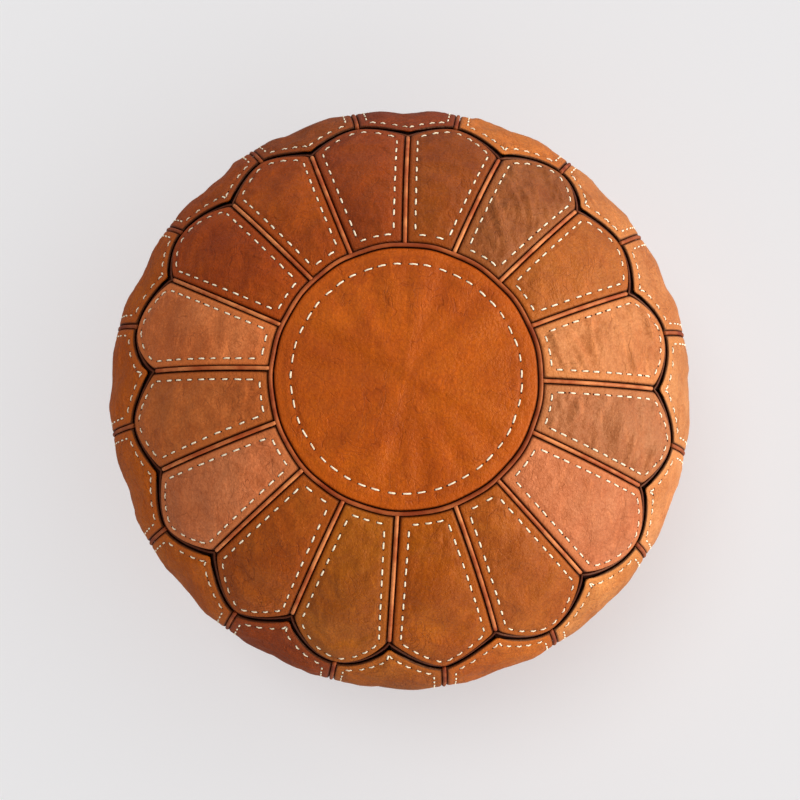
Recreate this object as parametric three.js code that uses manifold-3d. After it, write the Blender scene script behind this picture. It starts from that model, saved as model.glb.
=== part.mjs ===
// A round leather floor pouf: a medallion and sixteen petals on top, sixteen side panels below them,
// piping in every seam, a base in two halves with a zip between them, and a stuffed bag inside.
// Millimetres, +Z up. The origin is on the floor, under the middle of the pouf, and one petal seam
// points along +Y.

import * as THREE from "three";
import { mergeVertices } from "three/addons/utils/BufferGeometryUtils.js";
import Module from "manifold-3d";

// --- Driving dimensions -------------------------------------------------------------------------

// The stuffed body, over the leather
const BODY_RADIUS = 260; // at the widest level, over the side seams
const BODY_HEIGHT = 300;
const WIDEST_HEIGHT = 150; // of the widest level above the floor
const TOP_FLAT_RADIUS = 60; // the top is level inside this
const FACET_SINK = 2.5; // the wall falls in this far, midway between two side seams

// The leather
const PETALS = 16;
const LEATHER = 1.5;
const MEDALLION_RADIUS = 107; // to its seam
const POINT_RISE = 75; // from the widest level up the wall to a petal's tip
const SCALLOP_DEPTH = 33; // from a petal's tip up the wall to the notch between two petals
const SCALLOP_POWER = 1.7; // 1 makes a petal's end a straight-sided point, 2 an arch
const PETAL_PUFF = 3; // how far the stuffing swells a petal
const SIDE_PUFF = 1.5;
const SEAM_GAP = 0.3; // between two pieces that are sewn edge to edge

// The piping, a cord covered in leather
const PIPING_RADIUS = 1.9;
const PIPING_SINK = 0.3; // of its centre below the leather's face

// The inner bag and its stuffing
const BAG_CLEARANCE = 1.3; // the turned-in seam allowances lie in this space
const BAG_CLOTH = 0.6;
const STUFFING_CLEARANCE = 0.4;
const TRENCH_CLEARANCE = 1.4; // from the bag's mouth to the zip

// The base and its zip
const ZIP_LENGTH = 220; // over the teeth
const BASE_RIM = 45; // from the end of the teeth to the base's seam
const BASE_ROLL = 25; // the base's rim starts to rise this far inside its seam
const RECESS_DEPTH = 8; // the zip is drawn up this far, so that its slider clears the floor
const RECESS_FLOOR_HALF = 8; // half the width of the recess where it is deepest
const RECESS_HALF = 35; // half its width at floor level
const RECESS_OVERRUN = 10; // its full depth runs on past each end of the teeth
const RECESS_RUN_OUT = 25; // it then rises to the floor over this length
const SLOT_HALF = 6; // half the opening between the two halves, along the zip

const TAPE_WIDTH = 13;
const TAPE_THICKNESS = 0.8;
const TAPE_OVERRUN = 5; // past the teeth, at each end
const TEETH_HALF_GAP = 0.6; // from the zip's centre line to a tooth's tip
const TEETH_LENGTH = 1.2;
const TEETH_SPINE = 1.6; // the strip that joins the teeth
const TEETH_HEIGHT = 1.4; // below the tape
const TEETH_PITCH = 5.5;

const RUNNING_GAP = 0.3; // between the slider and what it runs on
const SLIDER_LENGTH = 12;
const SLIDER_CORNER = 2;
const SLIDER_PLATE = 1.5;
const SLIDER_INNER_PLATE = 1.2;
const SLIDER_FLANGE = 1;
const SLIDER_POST_HALF = 0.3;
const SLIDER_POST_LENGTH = 3;
const SLIDER_PARK = 6; // from the end of the teeth to the parked slider's nearer end
const BRIDGE_LENGTH = 8.8;
const BRIDGE_DROP = 3.2;
const BRIDGE_WALL = 1;
const BRIDGE_WIDTH = 2.4;

const PULL_LENGTH = 26; // from its pivot
const PULL_WIDTH = 8;
const PULL_THICKNESS = 1.3;
const PULL_WINDOW = 6; // from its pivot to the end of its window
const PULL_HOLE = 1.6; // the radius of the hole near its tip
const PULL_FLOOR_GAP = 0.2; // the tip all but touches the floor

// How finely the curved pieces are divided
const PANEL_COLUMNS = 6;
const PETAL_ROWS = 4;
const SIDE_ROWS = 5;
const PETAL_PIPING_STEPS = 5;
const SIDE_PIPING_STEPS = 6;
const MEDALLION_RINGS = 4;
const CORE_ROWS = 10; // of the bag and the stuffing, from the top to the base
const BASE_ROWS = 7; // of a base half, from the zip out to the rim
const TEETH_COLUMNS = 5; // of a base half, along half of the teeth

// --- Sizes that follow --------------------------------------------------------------------------

const STEP = (2 * Math.PI) / PETALS;
const RING_STEPS = 4 * PETALS; // round a ring, and half as many again round the wavy one
const FIRST_SEAM = Math.PI / 2;
const BASE_SEAM_RADIUS = ZIP_LENGTH / 2 + BASE_RIM;
const BASE_FLAT_RADIUS = BASE_SEAM_RADIUS - BASE_ROLL;
const SEAM_INSET = PIPING_RADIUS + SEAM_GAP; // from a seam's line to the panel's edge
const SKIN_DEPTH = Math.max(LEATHER, PIPING_SINK + PIPING_RADIUS);

// Levels of the zip above the floor, from the leather's edge inwards
const TAPE_UNDERSIDE = RECESS_DEPTH + LEATHER + SEAM_GAP;
const TAPE_TOP = TAPE_UNDERSIDE + TAPE_THICKNESS;
const TEETH_UNDERSIDE = TAPE_UNDERSIDE - TEETH_HEIGHT;
const TEETH_OUTER = TEETH_HALF_GAP + TEETH_LENGTH + TEETH_SPINE;
const PLATE_TOP = TEETH_UNDERSIDE - RUNNING_GAP;
const PLATE_UNDERSIDE = PLATE_TOP - SLIDER_PLATE;
const INNER_PLATE_UNDERSIDE = TAPE_TOP + RUNNING_GAP;
const INNER_PLATE_TOP = INNER_PLATE_UNDERSIDE + SLIDER_INNER_PLATE;
const SLIDER_HALF_WIDTH = TEETH_OUTER + RUNNING_GAP + SLIDER_FLANGE;
const SLIDER_X = ZIP_LENGTH / 2 - SLIDER_PARK - SLIDER_LENGTH / 2;
const PIVOT_HEIGHT = PLATE_UNDERSIDE - RUNNING_GAP - PULL_THICKNESS / 2;
const PULL_TILT = Math.asin((PIVOT_HEIGHT - PULL_THICKNESS / 2 - PULL_FLOOR_GAP) / PULL_LENGTH);

// --- The body's surface -------------------------------------------------------------------------

// Its outline, from the middle of the top over the widest level to the middle of the base.
const outline = new THREE.CurvePath();
outline.add(
  new THREE.LineCurve(
    new THREE.Vector2(0, BODY_HEIGHT),
    new THREE.Vector2(TOP_FLAT_RADIUS, BODY_HEIGHT),
  ),
);
outline.add(
  new THREE.EllipseCurve(
    TOP_FLAT_RADIUS,
    WIDEST_HEIGHT,
    BODY_RADIUS - TOP_FLAT_RADIUS,
    BODY_HEIGHT - WIDEST_HEIGHT,
    Math.PI / 2,
    0,
    true,
  ),
);
outline.add(
  new THREE.EllipseCurve(
    BASE_FLAT_RADIUS,
    WIDEST_HEIGHT,
    BODY_RADIUS - BASE_FLAT_RADIUS,
    WIDEST_HEIGHT,
    0,
    -Math.PI / 2,
    true,
  ),
);
outline.add(
  new THREE.LineCurve(new THREE.Vector2(BASE_FLAT_RADIUS, 0), new THREE.Vector2(0, 0)),
);
const outlineLength = outline.getLength();

const radiusAt = (arc) => outline.getPoint(arc / outlineLength).x;

// The distance along the outline at which it first reaches or passes a radius, between two distances.
function arcWhere(passed, from, to) {
  let low = from;
  let high = to;
  while (high - low > 1e-4) {
    const middle = (low + high) / 2;
    if (passed(middle)) high = middle;
    else low = middle;
  }
  return high;
}

const widestArc = TOP_FLAT_RADIUS + outline.curves[1].getLength();
const medallionArc = arcWhere((arc) => radiusAt(arc) > MEDALLION_RADIUS, 0, widestArc);
const baseArc = arcWhere((arc) => radiusAt(arc) < BASE_SEAM_RADIUS, widestArc, outlineLength);
const tipArc = widestArc - POINT_RISE;

// A side panel's flat facets cut inside the curved wall by this much, where it curves the most.
const tightestCurve = WIDEST_HEIGHT ** 2 / (BODY_RADIUS - TOP_FLAT_RADIUS);
const facetSag = ((baseArc - tipArc + SCALLOP_DEPTH) / SIDE_ROWS) ** 2 / (8 * tightestCurve);
const bagDepth = SKIN_DEPTH + facetSag + BAG_CLEARANCE;

// A point of the body: an angle about its axis, a distance along the outline, and a depth inwards.
// The wall is a rounded polygon, whose corners are the side seams.
function onBody(angle, arc, depth) {
  const at = outline.getPoint(arc / outlineLength);
  const run = outline.getTangent(arc / outlineLength);
  const betweenSideSeams = (1 + Math.cos(PETALS * (angle - FIRST_SEAM))) / 2;
  const inwards = depth + FACET_SINK * run.y * run.y * betweenSideSeams;
  const radius = at.x + run.y * inwards;
  return new THREE.Vector3(
    radius * Math.cos(angle),
    radius * Math.sin(angle),
    at.y - run.x * inwards,
  );
}

// The wavy seam between petals and side panels: its distance along the outline at an angle.
function fromTip(angle) {
  const turns = (angle - FIRST_SEAM) / STEP - 0.5;
  return 2 * Math.abs(turns - Math.round(turns)); // 0 at a petal's tip, 1 at a notch
}
function scallopArc(angle) {
  return tipArc - SCALLOP_DEPTH * fromTip(angle) ** SCALLOP_POWER;
}

// How far along the outline to step from the wavy seam, to end up a given distance clear of it.
function scallopStep(angle, clear) {
  const steepness = SCALLOP_POWER * fromTip(angle) ** (SCALLOP_POWER - 1);
  const slope = (SCALLOP_DEPTH * steepness) / (radiusAt(tipArc) * (STEP / 2));
  return clear * Math.hypot(1, slope);
}

// --- Ways to make a geometry --------------------------------------------------------------------

const smooth = THREE.MathUtils.smoothstep;
const lerp = THREE.MathUtils.lerp;

// Moves every vertex of a geometry to place(x, y, z, u, v).
function bend(geometry, place) {
  const { position, uv } = geometry.attributes;
  for (let i = 0; i < position.count; i++) {
    const at = place(position.getX(i), position.getY(i), position.getZ(i), uv.getX(i), uv.getY(i));
    position.setXYZ(i, at.x, at.y, at.z);
  }
  return geometry;
}

// A bent slab of leather. across runs from -1 to 1, down from 0 to 1 and inwards from 0 to 1.
function leatherSlab(columns, rows, place) {
  return bend(new THREE.BoxGeometry(1, 1, 1, columns, rows, 1), (x, y, z) =>
    place(2 * x, 0.5 - y, 0.5 - z),
  );
}

// A panel of the cover, between two seams that run down the wall and two that run round it.
function coverPanel(middle, rows, puff, topArc, bottomArc) {
  return leatherSlab(PANEL_COLUMNS, rows, (across, down, inwards) => {
    const aim = middle + (across * STEP) / 2;
    const arc = lerp(topArc(aim), bottomArc(aim), down);
    const angle = middle + across * (STEP / 2 - SEAM_INSET / radiusAt(arc));
    const swell = puff * (1 - across * across) * Math.sin(Math.PI * down);
    return onBody(angle, arc, LEATHER * inwards - swell);
  });
}

// A piping that runs down the wall, at one angle.
function pipingDown(angle, topArc, bottomArc, steps) {
  const points = [];
  for (let i = 0; i <= steps; i++) {
    points.push(onBody(angle, lerp(topArc, bottomArc, i / steps), PIPING_SINK));
  }
  const section = new THREE.Shape().absarc(0, 0, PIPING_RADIUS, 0, 2 * Math.PI);
  const extrudePath = new THREE.CatmullRomCurve3(points);
  return new THREE.ExtrudeGeometry(section, { steps, extrudePath, curveSegments: 3 });
}

// A piping that runs round the body, where arcAt gives its distance along the outline.
function pipingRound(arcAt, steps) {
  const centre = (angle) => onBody(angle, arcAt(angle), PIPING_SINK);
  const half = Math.PI / steps;
  return bend(new THREE.TorusGeometry(1, 0.1, 6, steps), (x, y, z, u, v) => {
    const angle = FIRST_SEAM + 2 * Math.PI * u;
    const outwards = onBody(angle, arcAt(angle), 0).sub(onBody(angle, arcAt(angle), 1)).normalize();
    const along = centre(angle + half).sub(centre(angle - half)).normalize();
    const aside = along.cross(outwards).normalize();
    return centre(angle)
      .addScaledVector(aside, PIPING_RADIUS * Math.cos(2 * Math.PI * v))
      .addScaledVector(outwards, PIPING_RADIUS * Math.sin(2 * Math.PI * v));
  });
}

// The whole body, at a depth inside its face.
function bodyCore(depth) {
  return bend(new THREE.SphereGeometry(1, 2 * PETALS, CORE_ROWS), (x, y, z, u, v) =>
    onBody(FIRST_SEAM + 2 * Math.PI * u, (1 - v) * outlineLength, depth),
  );
}

function box(x0, x1, y0, y1, z0, z1) {
  const made = new THREE.BoxGeometry(x1 - x0, y1 - y0, z1 - z0);
  return made.translate((x0 + x1) / 2, (y0 + y1) / 2, (z0 + z1) / 2);
}

// A flat plate with rounded corners, centred on the zip's line.
function plate(length, halfWidth, corner, low, high) {
  const x = length / 2 - corner;
  const y = halfWidth - corner;
  const shape = new THREE.Shape();
  shape.absarc(x, y, corner, 0, Math.PI / 2);
  shape.absarc(-x, y, corner, Math.PI / 2, Math.PI);
  shape.absarc(-x, -y, corner, Math.PI, 1.5 * Math.PI);
  shape.absarc(x, -y, corner, 1.5 * Math.PI, 2 * Math.PI);
  const made = new THREE.ExtrudeGeometry(shape, {
    depth: high - low,
    bevelEnabled: false,
    curveSegments: 4,
  });
  return made.translate(0, 0, low);
}

// --- Joining and cutting ------------------------------------------------------------------------

const wasm = await Module();
wasm.setup();

function solid(geometry) {
  const bare = geometry.clone();
  bare.deleteAttribute("normal");
  bare.deleteAttribute("uv");
  const merged = mergeVertices(bare, 1e-3);
  return new wasm.Manifold(
    new wasm.Mesh({
      numProp: 3,
      vertProperties: merged.attributes.position.array,
      triVerts: new Uint32Array(merged.index.array),
    }),
  );
}

function geometryOf(made) {
  const { vertProperties, triVerts } = made.getMesh();
  const geometry = new THREE.BufferGeometry();
  geometry.setAttribute("position", new THREE.BufferAttribute(vertProperties, 3));
  geometry.setIndex(new THREE.BufferAttribute(triVerts, 1));
  return geometry;
}

function joined(...geometries) {
  return geometryOf(geometries.map(solid).reduce((a, b) => a.add(b)));
}

// --- Materials and nodes ------------------------------------------------------------------------

const leather = new THREE.MeshStandardMaterial({ color: 0xb4622c, roughness: 0.45 });
const medallionLeather = new THREE.MeshStandardMaterial({ color: 0xbe6a26, roughness: 0.42 });
const sideLeather = new THREE.MeshStandardMaterial({ color: 0xb06a35, roughness: 0.5 });
const pipingLeather = new THREE.MeshStandardMaterial({ color: 0xc47b4c, roughness: 0.45 });
const cotton = new THREE.MeshStandardMaterial({ color: 0xe8e0cf, roughness: 0.9 });
const wadding = new THREE.MeshStandardMaterial({ color: 0xf2efe6, roughness: 1 });
const tapeCloth = new THREE.MeshStandardMaterial({ color: 0x4a2c18, roughness: 0.8 });
const brass = new THREE.MeshStandardMaterial({ color: 0xb08a4a, roughness: 0.35, metalness: 1 });

const pouf = new THREE.Group();

function addNode(name, geometry, material, parent = pouf) {
  const mesh = new THREE.Mesh(geometry, material);
  mesh.name = name;
  parent.add(mesh);
  return mesh;
}

const numbered = (name, index) => `${name}_${String(index + 1).padStart(2, "0")}`;

// --- The medallion ------------------------------------------------------------------------------

function medallionGeometry() {
  const edge = medallionArc - SEAM_INSET;
  const underside = [];
  const face = [];
  for (let i = 0; i <= MEDALLION_RINGS; i++) {
    const arc = (edge * i) / MEDALLION_RINGS;
    const low = onBody(FIRST_SEAM, arc, LEATHER);
    const high = onBody(FIRST_SEAM, arc, 0);
    underside.push(new THREE.Vector2(low.y, low.z));
    face.unshift(new THREE.Vector2(high.y, high.z));
  }
  underside[0].x = 0;
  face[MEDALLION_RINGS].x = 0;
  return new THREE.LatheGeometry([...underside, ...face], RING_STEPS).rotateX(Math.PI / 2);
}

addNode("medallion", medallionGeometry(), medallionLeather);
addNode(
  "medallion_piping",
  pipingRound(() => medallionArc, RING_STEPS),
  pipingLeather,
);

// --- Petals, side panels and the piping between them ---------------------------------------------

const petalTop = () => medallionArc + SEAM_INSET;
const petalBottom = (angle) => scallopArc(angle) - scallopStep(angle, SEAM_INSET);
const sideTop = (angle) => scallopArc(angle) + scallopStep(angle, SEAM_INSET);
const sideBottom = () => baseArc - SEAM_INSET;
const pipingEndGap = PIPING_RADIUS + SEAM_GAP;

for (let i = 0; i < PETALS; i++) {
  const notch = FIRST_SEAM + i * STEP;
  const tip = notch + STEP / 2;
  addNode(
    numbered("petal", i),
    coverPanel(tip, PETAL_ROWS, PETAL_PUFF, petalTop, petalBottom),
    leather,
  );
  addNode(
    numbered("petal_piping", i),
    pipingDown(
      notch,
      medallionArc + pipingEndGap,
      scallopArc(notch) - scallopStep(notch, pipingEndGap),
      PETAL_PIPING_STEPS,
    ),
    pipingLeather,
  );
  addNode(
    numbered("side_panel", i),
    coverPanel(notch, SIDE_ROWS, SIDE_PUFF, sideTop, sideBottom),
    sideLeather,
  );
}

addNode("scallop_piping", pipingRound(scallopArc, 1.5 * RING_STEPS), pipingLeather);

// The sixteen side pipings run into the ring of piping round the base.
function sidePipingGeometry() {
  const strips = [];
  for (let i = 0; i < PETALS; i++) {
    const seam = FIRST_SEAM + (i + 0.5) * STEP;
    strips.push(pipingDown(seam, tipArc + pipingEndGap, baseArc, SIDE_PIPING_STEPS));
  }
  return joined(pipingRound(() => baseArc, RING_STEPS), ...strips);
}

addNode("side_piping", sidePipingGeometry(), pipingLeather);

// --- The base, in two halves ----------------------------------------------------------------------

// How deep the recess for the zip is, as a share of its full depth.
function recess(x, y) {
  const end = ZIP_LENGTH / 2 + RECESS_OVERRUN;
  const across = 1 - smooth(Math.abs(y), RECESS_FLOOR_HALF, RECESS_HALF);
  const along = 1 - smooth(Math.abs(x), end, end + RECESS_RUN_OUT);
  return across * along;
}

// The opening between the halves narrows to a plain seam past the ends of the zip.
function slotHalf(x) {
  const end = ZIP_LENGTH / 2;
  return lerp(SLOT_HALF, SEAM_GAP, smooth(Math.abs(x), end, end + 2 * TAPE_OVERRUN));
}

// Where the base half's columns start along the zip, from its middle to the base's seam.
function innerColumns(end) {
  const half = ZIP_LENGTH / 2;
  const closed = half + 2 * TAPE_OVERRUN;
  const level = half + RECESS_OVERRUN + RECESS_RUN_OUT;
  const alongTeeth = [];
  for (let i = 0; i <= TEETH_COLUMNS; i++) alongTeeth.push((i * half) / TEETH_COLUMNS);
  return [...alongTeeth, closed, (closed + level) / 2, level, (level + end) / 2, end];
}

function baseHalfGeometry() {
  const rim = BASE_SEAM_RADIUS - SEAM_INSET;
  const ends = Math.asin(SEAM_GAP / rim);
  const inner = innerColumns(rim * Math.cos(ends));
  const columns = inner.length - 1;
  return leatherSlab(2 * columns, BASE_ROWS, (across, down, inwards) => {
    const turn = Math.PI / 2 - across * (Math.PI / 2 - ends);
    const startX = Math.sign(across) * inner[Math.round(Math.abs(across) * columns)];
    const x = lerp(startX, rim * Math.cos(turn), down ** 1.5);
    const y = lerp(slotHalf(startX), rim * Math.sin(turn), down ** 1.5);
    const floor = outline.getPoint(1 - Math.hypot(x, y) / outlineLength).y;
    return new THREE.Vector3(x, y, floor + RECESS_DEPTH * recess(x, y) + LEATHER * inwards);
  });
}

addNode("base_half_back", baseHalfGeometry(), sideLeather);
addNode("base_half_front", baseHalfGeometry(), sideLeather).rotation.z = Math.PI;

// --- The zip: two tapes with their teeth, the slider and its pull ----------------------------------

// A strip with teeth along one side, cut like a comb.
function combShape() {
  const teeth = Math.floor(ZIP_LENGTH / TEETH_PITCH);
  const root = TEETH_HALF_GAP + TEETH_LENGTH;
  const first = (-teeth * TEETH_PITCH) / 2;
  const points = [new THREE.Vector2(-first, TEETH_OUTER), new THREE.Vector2(first, TEETH_OUTER)];
  for (let i = 0; i < teeth; i++) {
    const from = first + i * TEETH_PITCH;
    const to = from + TEETH_PITCH / 2;
    points.push(
      new THREE.Vector2(from, TEETH_HALF_GAP),
      new THREE.Vector2(to, TEETH_HALF_GAP),
      new THREE.Vector2(to, root),
      new THREE.Vector2(to + TEETH_PITCH / 2, root),
    );
  }
  return new THREE.Shape(points);
}

function tapeGeometry() {
  const end = ZIP_LENGTH / 2 + TAPE_OVERRUN;
  const tape = box(
    -end,
    end,
    TEETH_HALF_GAP,
    TEETH_HALF_GAP + TAPE_WIDTH,
    TAPE_UNDERSIDE,
    TAPE_TOP,
  );
  const depth = (TAPE_UNDERSIDE + TAPE_TOP) / 2 - TEETH_UNDERSIDE;
  const teeth = new THREE.ExtrudeGeometry(combShape(), { depth, bevelEnabled: false });
  return joined(tape, teeth.translate(0, 0, TEETH_UNDERSIDE));
}

addNode("zip_tape_back", tapeGeometry(), tapeCloth);
addNode("zip_tape_front", tapeGeometry(), tapeCloth).rotation.z = Math.PI;

// The slider has a plate each side of the teeth. A post joins them at the end that parts the teeth,
// and a bridge under the outer plate holds the pull.
function sliderGeometry() {
  const end = SLIDER_LENGTH / 2;
  const inside = SLIDER_HALF_WIDTH - SLIDER_FLANGE;
  const middle = (PLATE_UNDERSIDE + PLATE_TOP) / 2;
  const rim = end - SLIDER_CORNER;
  const parts = [
    plate(SLIDER_LENGTH, SLIDER_HALF_WIDTH, SLIDER_CORNER, PLATE_UNDERSIDE, PLATE_TOP),
    plate(SLIDER_LENGTH, inside, SLIDER_CORNER, INNER_PLATE_UNDERSIDE, INNER_PLATE_TOP),
    box(-rim, rim, inside, SLIDER_HALF_WIDTH, middle, TAPE_UNDERSIDE - RUNNING_GAP),
    box(-rim, rim, -SLIDER_HALF_WIDTH, -inside, middle, TAPE_UNDERSIDE - RUNNING_GAP),
    box(
      end - 1 - SLIDER_POST_LENGTH,
      end - 1,
      -SLIDER_POST_HALF,
      SLIDER_POST_HALF,
      middle,
      (INNER_PLATE_UNDERSIDE + INNER_PLATE_TOP) / 2,
    ),
  ];
  const half = BRIDGE_LENGTH / 2;
  const side = BRIDGE_WIDTH / 2;
  const crown = PLATE_UNDERSIDE - BRIDGE_DROP;
  const bridge = [
    box(-half, half, -side, side, crown, crown + BRIDGE_WALL),
    box(-half, BRIDGE_WALL - half, -side, side, crown, middle),
    box(half - BRIDGE_WALL, half, -side, side, crown, middle),
  ];
  return joined(...parts, ...bridge);
}

// The pull's own origin is its pivot, and it points along -X.
function pullGeometry() {
  const half = PULL_WIDTH / 2;
  const windowHalf = BRIDGE_WIDTH / 2 + 2 * RUNNING_GAP;
  const tag = new THREE.Shape();
  tag.moveTo(0, half);
  tag.lineTo(half - PULL_LENGTH, half);
  tag.absarc(half - PULL_LENGTH, 0, half, Math.PI / 2, 1.5 * Math.PI);
  tag.lineTo(0, -half);
  const hole = new THREE.Path().absarc(half - PULL_LENGTH, 0, PULL_HOLE, 0, 2 * Math.PI);
  tag.holes.push(hole);
  const thickness = { depth: PULL_THICKNESS, bevelEnabled: false, curveSegments: 5 };
  const sheet = new THREE.ExtrudeGeometry(tag, thickness).translate(0, 0, -PULL_THICKNESS / 2);
  const gap = box(-PULL_WINDOW, 1, -windowHalf, windowHalf, -PULL_THICKNESS, PULL_THICKNESS);
  const bar = new THREE.CylinderGeometry(PULL_THICKNESS / 2, PULL_THICKNESS / 2, PULL_WIDTH, 10);
  return geometryOf(solid(sheet).subtract(solid(gap)).add(solid(bar)));
}

addNode("zip_slider", sliderGeometry(), brass).position.x = SLIDER_X;

const pull = addNode("zip_pull", pullGeometry(), brass);
pull.position.set(SLIDER_X, 0, PIVOT_HEIGHT);
pull.rotation.y = -PULL_TILT;

// --- The inner bag and its stuffing ----------------------------------------------------------------

// A long trench in the underside, which leaves the zip its room. It is also the bag's mouth.
function trench(spare) {
  const top = INNER_PLATE_TOP + TRENCH_CLEARANCE + spare;
  const narrow = TEETH_HALF_GAP + TAPE_WIDTH + TRENCH_CLEARANCE + spare;
  const wide = RECESS_HALF - TRENCH_CLEARANCE + spare;
  const end = ZIP_LENGTH / 2 + RECESS_OVERRUN + RECESS_RUN_OUT + TRENCH_CLEARANCE + spare;
  const section = new THREE.Shape([
    new THREE.Vector2(-wide, -1),
    new THREE.Vector2(wide, -1),
    new THREE.Vector2(narrow, top),
    new THREE.Vector2(-narrow, top),
  ]);
  const prism = new THREE.ExtrudeGeometry(section, { depth: 2 * end, bevelEnabled: false });
  return prism.translate(0, 0, -end).rotateX(Math.PI / 2).rotateZ(Math.PI / 2);
}

const bagInside = bagDepth + BAG_CLOTH;
const bag = solid(bodyCore(bagDepth)).subtract(solid(bodyCore(bagInside)));
addNode("inner_bag", geometryOf(bag.subtract(solid(trench(0)))), cotton);

const stuffing = solid(bodyCore(bagInside + STUFFING_CLEARANCE));
addNode("stuffing", geometryOf(stuffing.subtract(solid(trench(STUFFING_CLEARANCE)))), wadding);

export default pouf;
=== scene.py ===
# %% [markdown]
# # A stitched leather pouf
# The frame gives a pouf's structure: a medallion and sixteen petals on top, sixteen side panels, piping in
# the seams, a base with a zip and a stuffed bag inside. Here each of those pieces gets its real surface.
# Each leather panel is bent over the stuffed body, slackened by a cloth simulation, rolled into its seams
# and sewn by hand with thick thread.

# %% Load the frame
import math

import bmesh
import bpy
import numpy as np
from mathutils import Matrix, Vector, noise
from mathutils.bvhtree import BVHTree


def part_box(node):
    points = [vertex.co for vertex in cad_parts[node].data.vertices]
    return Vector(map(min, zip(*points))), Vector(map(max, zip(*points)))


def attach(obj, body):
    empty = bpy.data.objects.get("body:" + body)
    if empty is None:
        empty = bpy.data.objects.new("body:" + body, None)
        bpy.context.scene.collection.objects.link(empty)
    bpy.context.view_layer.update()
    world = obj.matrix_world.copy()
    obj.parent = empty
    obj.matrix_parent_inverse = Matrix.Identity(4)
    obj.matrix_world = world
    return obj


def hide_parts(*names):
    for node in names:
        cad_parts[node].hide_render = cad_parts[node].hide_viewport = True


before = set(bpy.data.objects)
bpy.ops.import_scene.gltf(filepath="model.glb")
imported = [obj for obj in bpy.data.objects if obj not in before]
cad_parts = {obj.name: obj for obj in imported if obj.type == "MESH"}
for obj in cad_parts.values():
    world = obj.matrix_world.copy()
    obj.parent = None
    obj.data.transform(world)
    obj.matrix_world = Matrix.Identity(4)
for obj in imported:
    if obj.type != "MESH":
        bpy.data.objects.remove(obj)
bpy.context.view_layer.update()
MM = 0.001
print("nodes in the frame:", len(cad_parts))

# %% [markdown]
# ## The camera
# The pouf is seen from nearly straight above. It is worth placing the camera first, because it decides
# how fine the work on each piece has to be. The camera stands a little in front of the middle. Looking
# almost straight down, a tracking constraint would turn the picture about, so the camera's own axes
# are worked out here: the pouf's back stays at the top, turned a little clockwise.

# %% Place the camera
CAMERA_AT = Vector((-0.0203, -0.1069, 1.243))
CAMERA_AIM = Vector((0, 0, 0.15))
CAMERA_ROLL = math.radians(1.66)

lens = bpy.data.cameras.new("camera")
lens.lens = 54.42
lens.sensor_width = 36
lens.shift_x = -0.0027
lens.shift_y = -0.0054
camera = bpy.data.objects.new("camera", lens)
bpy.context.scene.collection.objects.link(camera)
backward = (CAMERA_AT - CAMERA_AIM).normalized()
rightward = Vector((0, 1, 0)).cross(backward).normalized()
facing = Matrix((rightward, backward.cross(rightward), backward)).transposed().to_4x4()
camera.matrix_world = Matrix.Translation(CAMERA_AT) @ facing @ Matrix.Rotation(CAMERA_ROLL, 4, "Z")
bpy.context.scene.camera = camera
print("camera at", tuple(round(v, 3) for v in CAMERA_AT))

# %% [markdown]
# ## The stuffed body
# Every piece of the cover lies on one surface, so that surface comes first. Its outline is four simple
# curves: a level top, two quarter ellipses and a level base. A place on it is an angle round the body, a
# distance down the outline from the middle of the top, and a depth under the face. The pieces then need
# no fitting, because neighbours meet at the same angle or distance.

# %% Sizes of the body, from the frame
PETALS = 16
STEP = 2 * math.pi / PETALS
FIRST_SEAM = math.pi / 2
CAD_PIPING = 1.9 * MM

BODY_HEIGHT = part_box("medallion")[1].z
WIDEST_HEIGHT = BODY_HEIGHT / 2
BODY_RADIUS = 260 * MM
TOP_FLAT_RADIUS = 60 * MM
MEDALLION_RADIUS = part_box("medallion_piping")[1].x - CAD_PIPING
BASE_SEAM_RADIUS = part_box("base_half_back")[1].x + CAD_PIPING
BASE_FLAT_RADIUS = 130 * MM
FACET_SINK = 3.4 * MM
print("medallion radius, mm:", round(MEDALLION_RADIUS / MM, 1))


# %% The outline, and places on it
def smooth(x, low, high):
    """0 below low, 1 above high, and a smooth ramp between."""
    t = np.clip((x - low) / (high - low), 0, 1)
    return t * t * (3 - 2 * t)


def outline_points(samples=400):
    turn = np.linspace(0, math.pi / 2, samples)
    top = TOP_FLAT_RADIUS + (BODY_RADIUS - TOP_FLAT_RADIUS) * np.sin(turn)
    crown = WIDEST_HEIGHT + (BODY_HEIGHT - WIDEST_HEIGHT) * np.cos(turn)
    low = BASE_FLAT_RADIUS + (BODY_RADIUS - BASE_FLAT_RADIUS) * np.cos(turn)
    belly = WIDEST_HEIGHT * (1 - np.sin(turn))
    radius = np.concatenate([[0], top, low[1:], [0]])
    height = np.concatenate([[BODY_HEIGHT], crown, belly[1:], [0]])
    return radius, height


RADII, HEIGHTS = outline_points()
ARCS = np.concatenate([[0], np.cumsum(np.hypot(np.diff(RADII), np.diff(HEIGHTS)))])
RUN_OUT = np.gradient(RADII, ARCS)
RUN_DOWN = np.gradient(HEIGHTS, ARCS)


def radius_at(arc):
    return np.interp(arc, ARCS, RADII)


widest = int(np.argmax(RADII))
WIDEST_ARC = ARCS[widest]
MEDALLION_ARC = float(np.interp(MEDALLION_RADIUS, RADII[:widest], ARCS[:widest]))
BASE_ARC = float(np.interp(-BASE_SEAM_RADIUS, -RADII[widest:], ARCS[widest:]))


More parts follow.
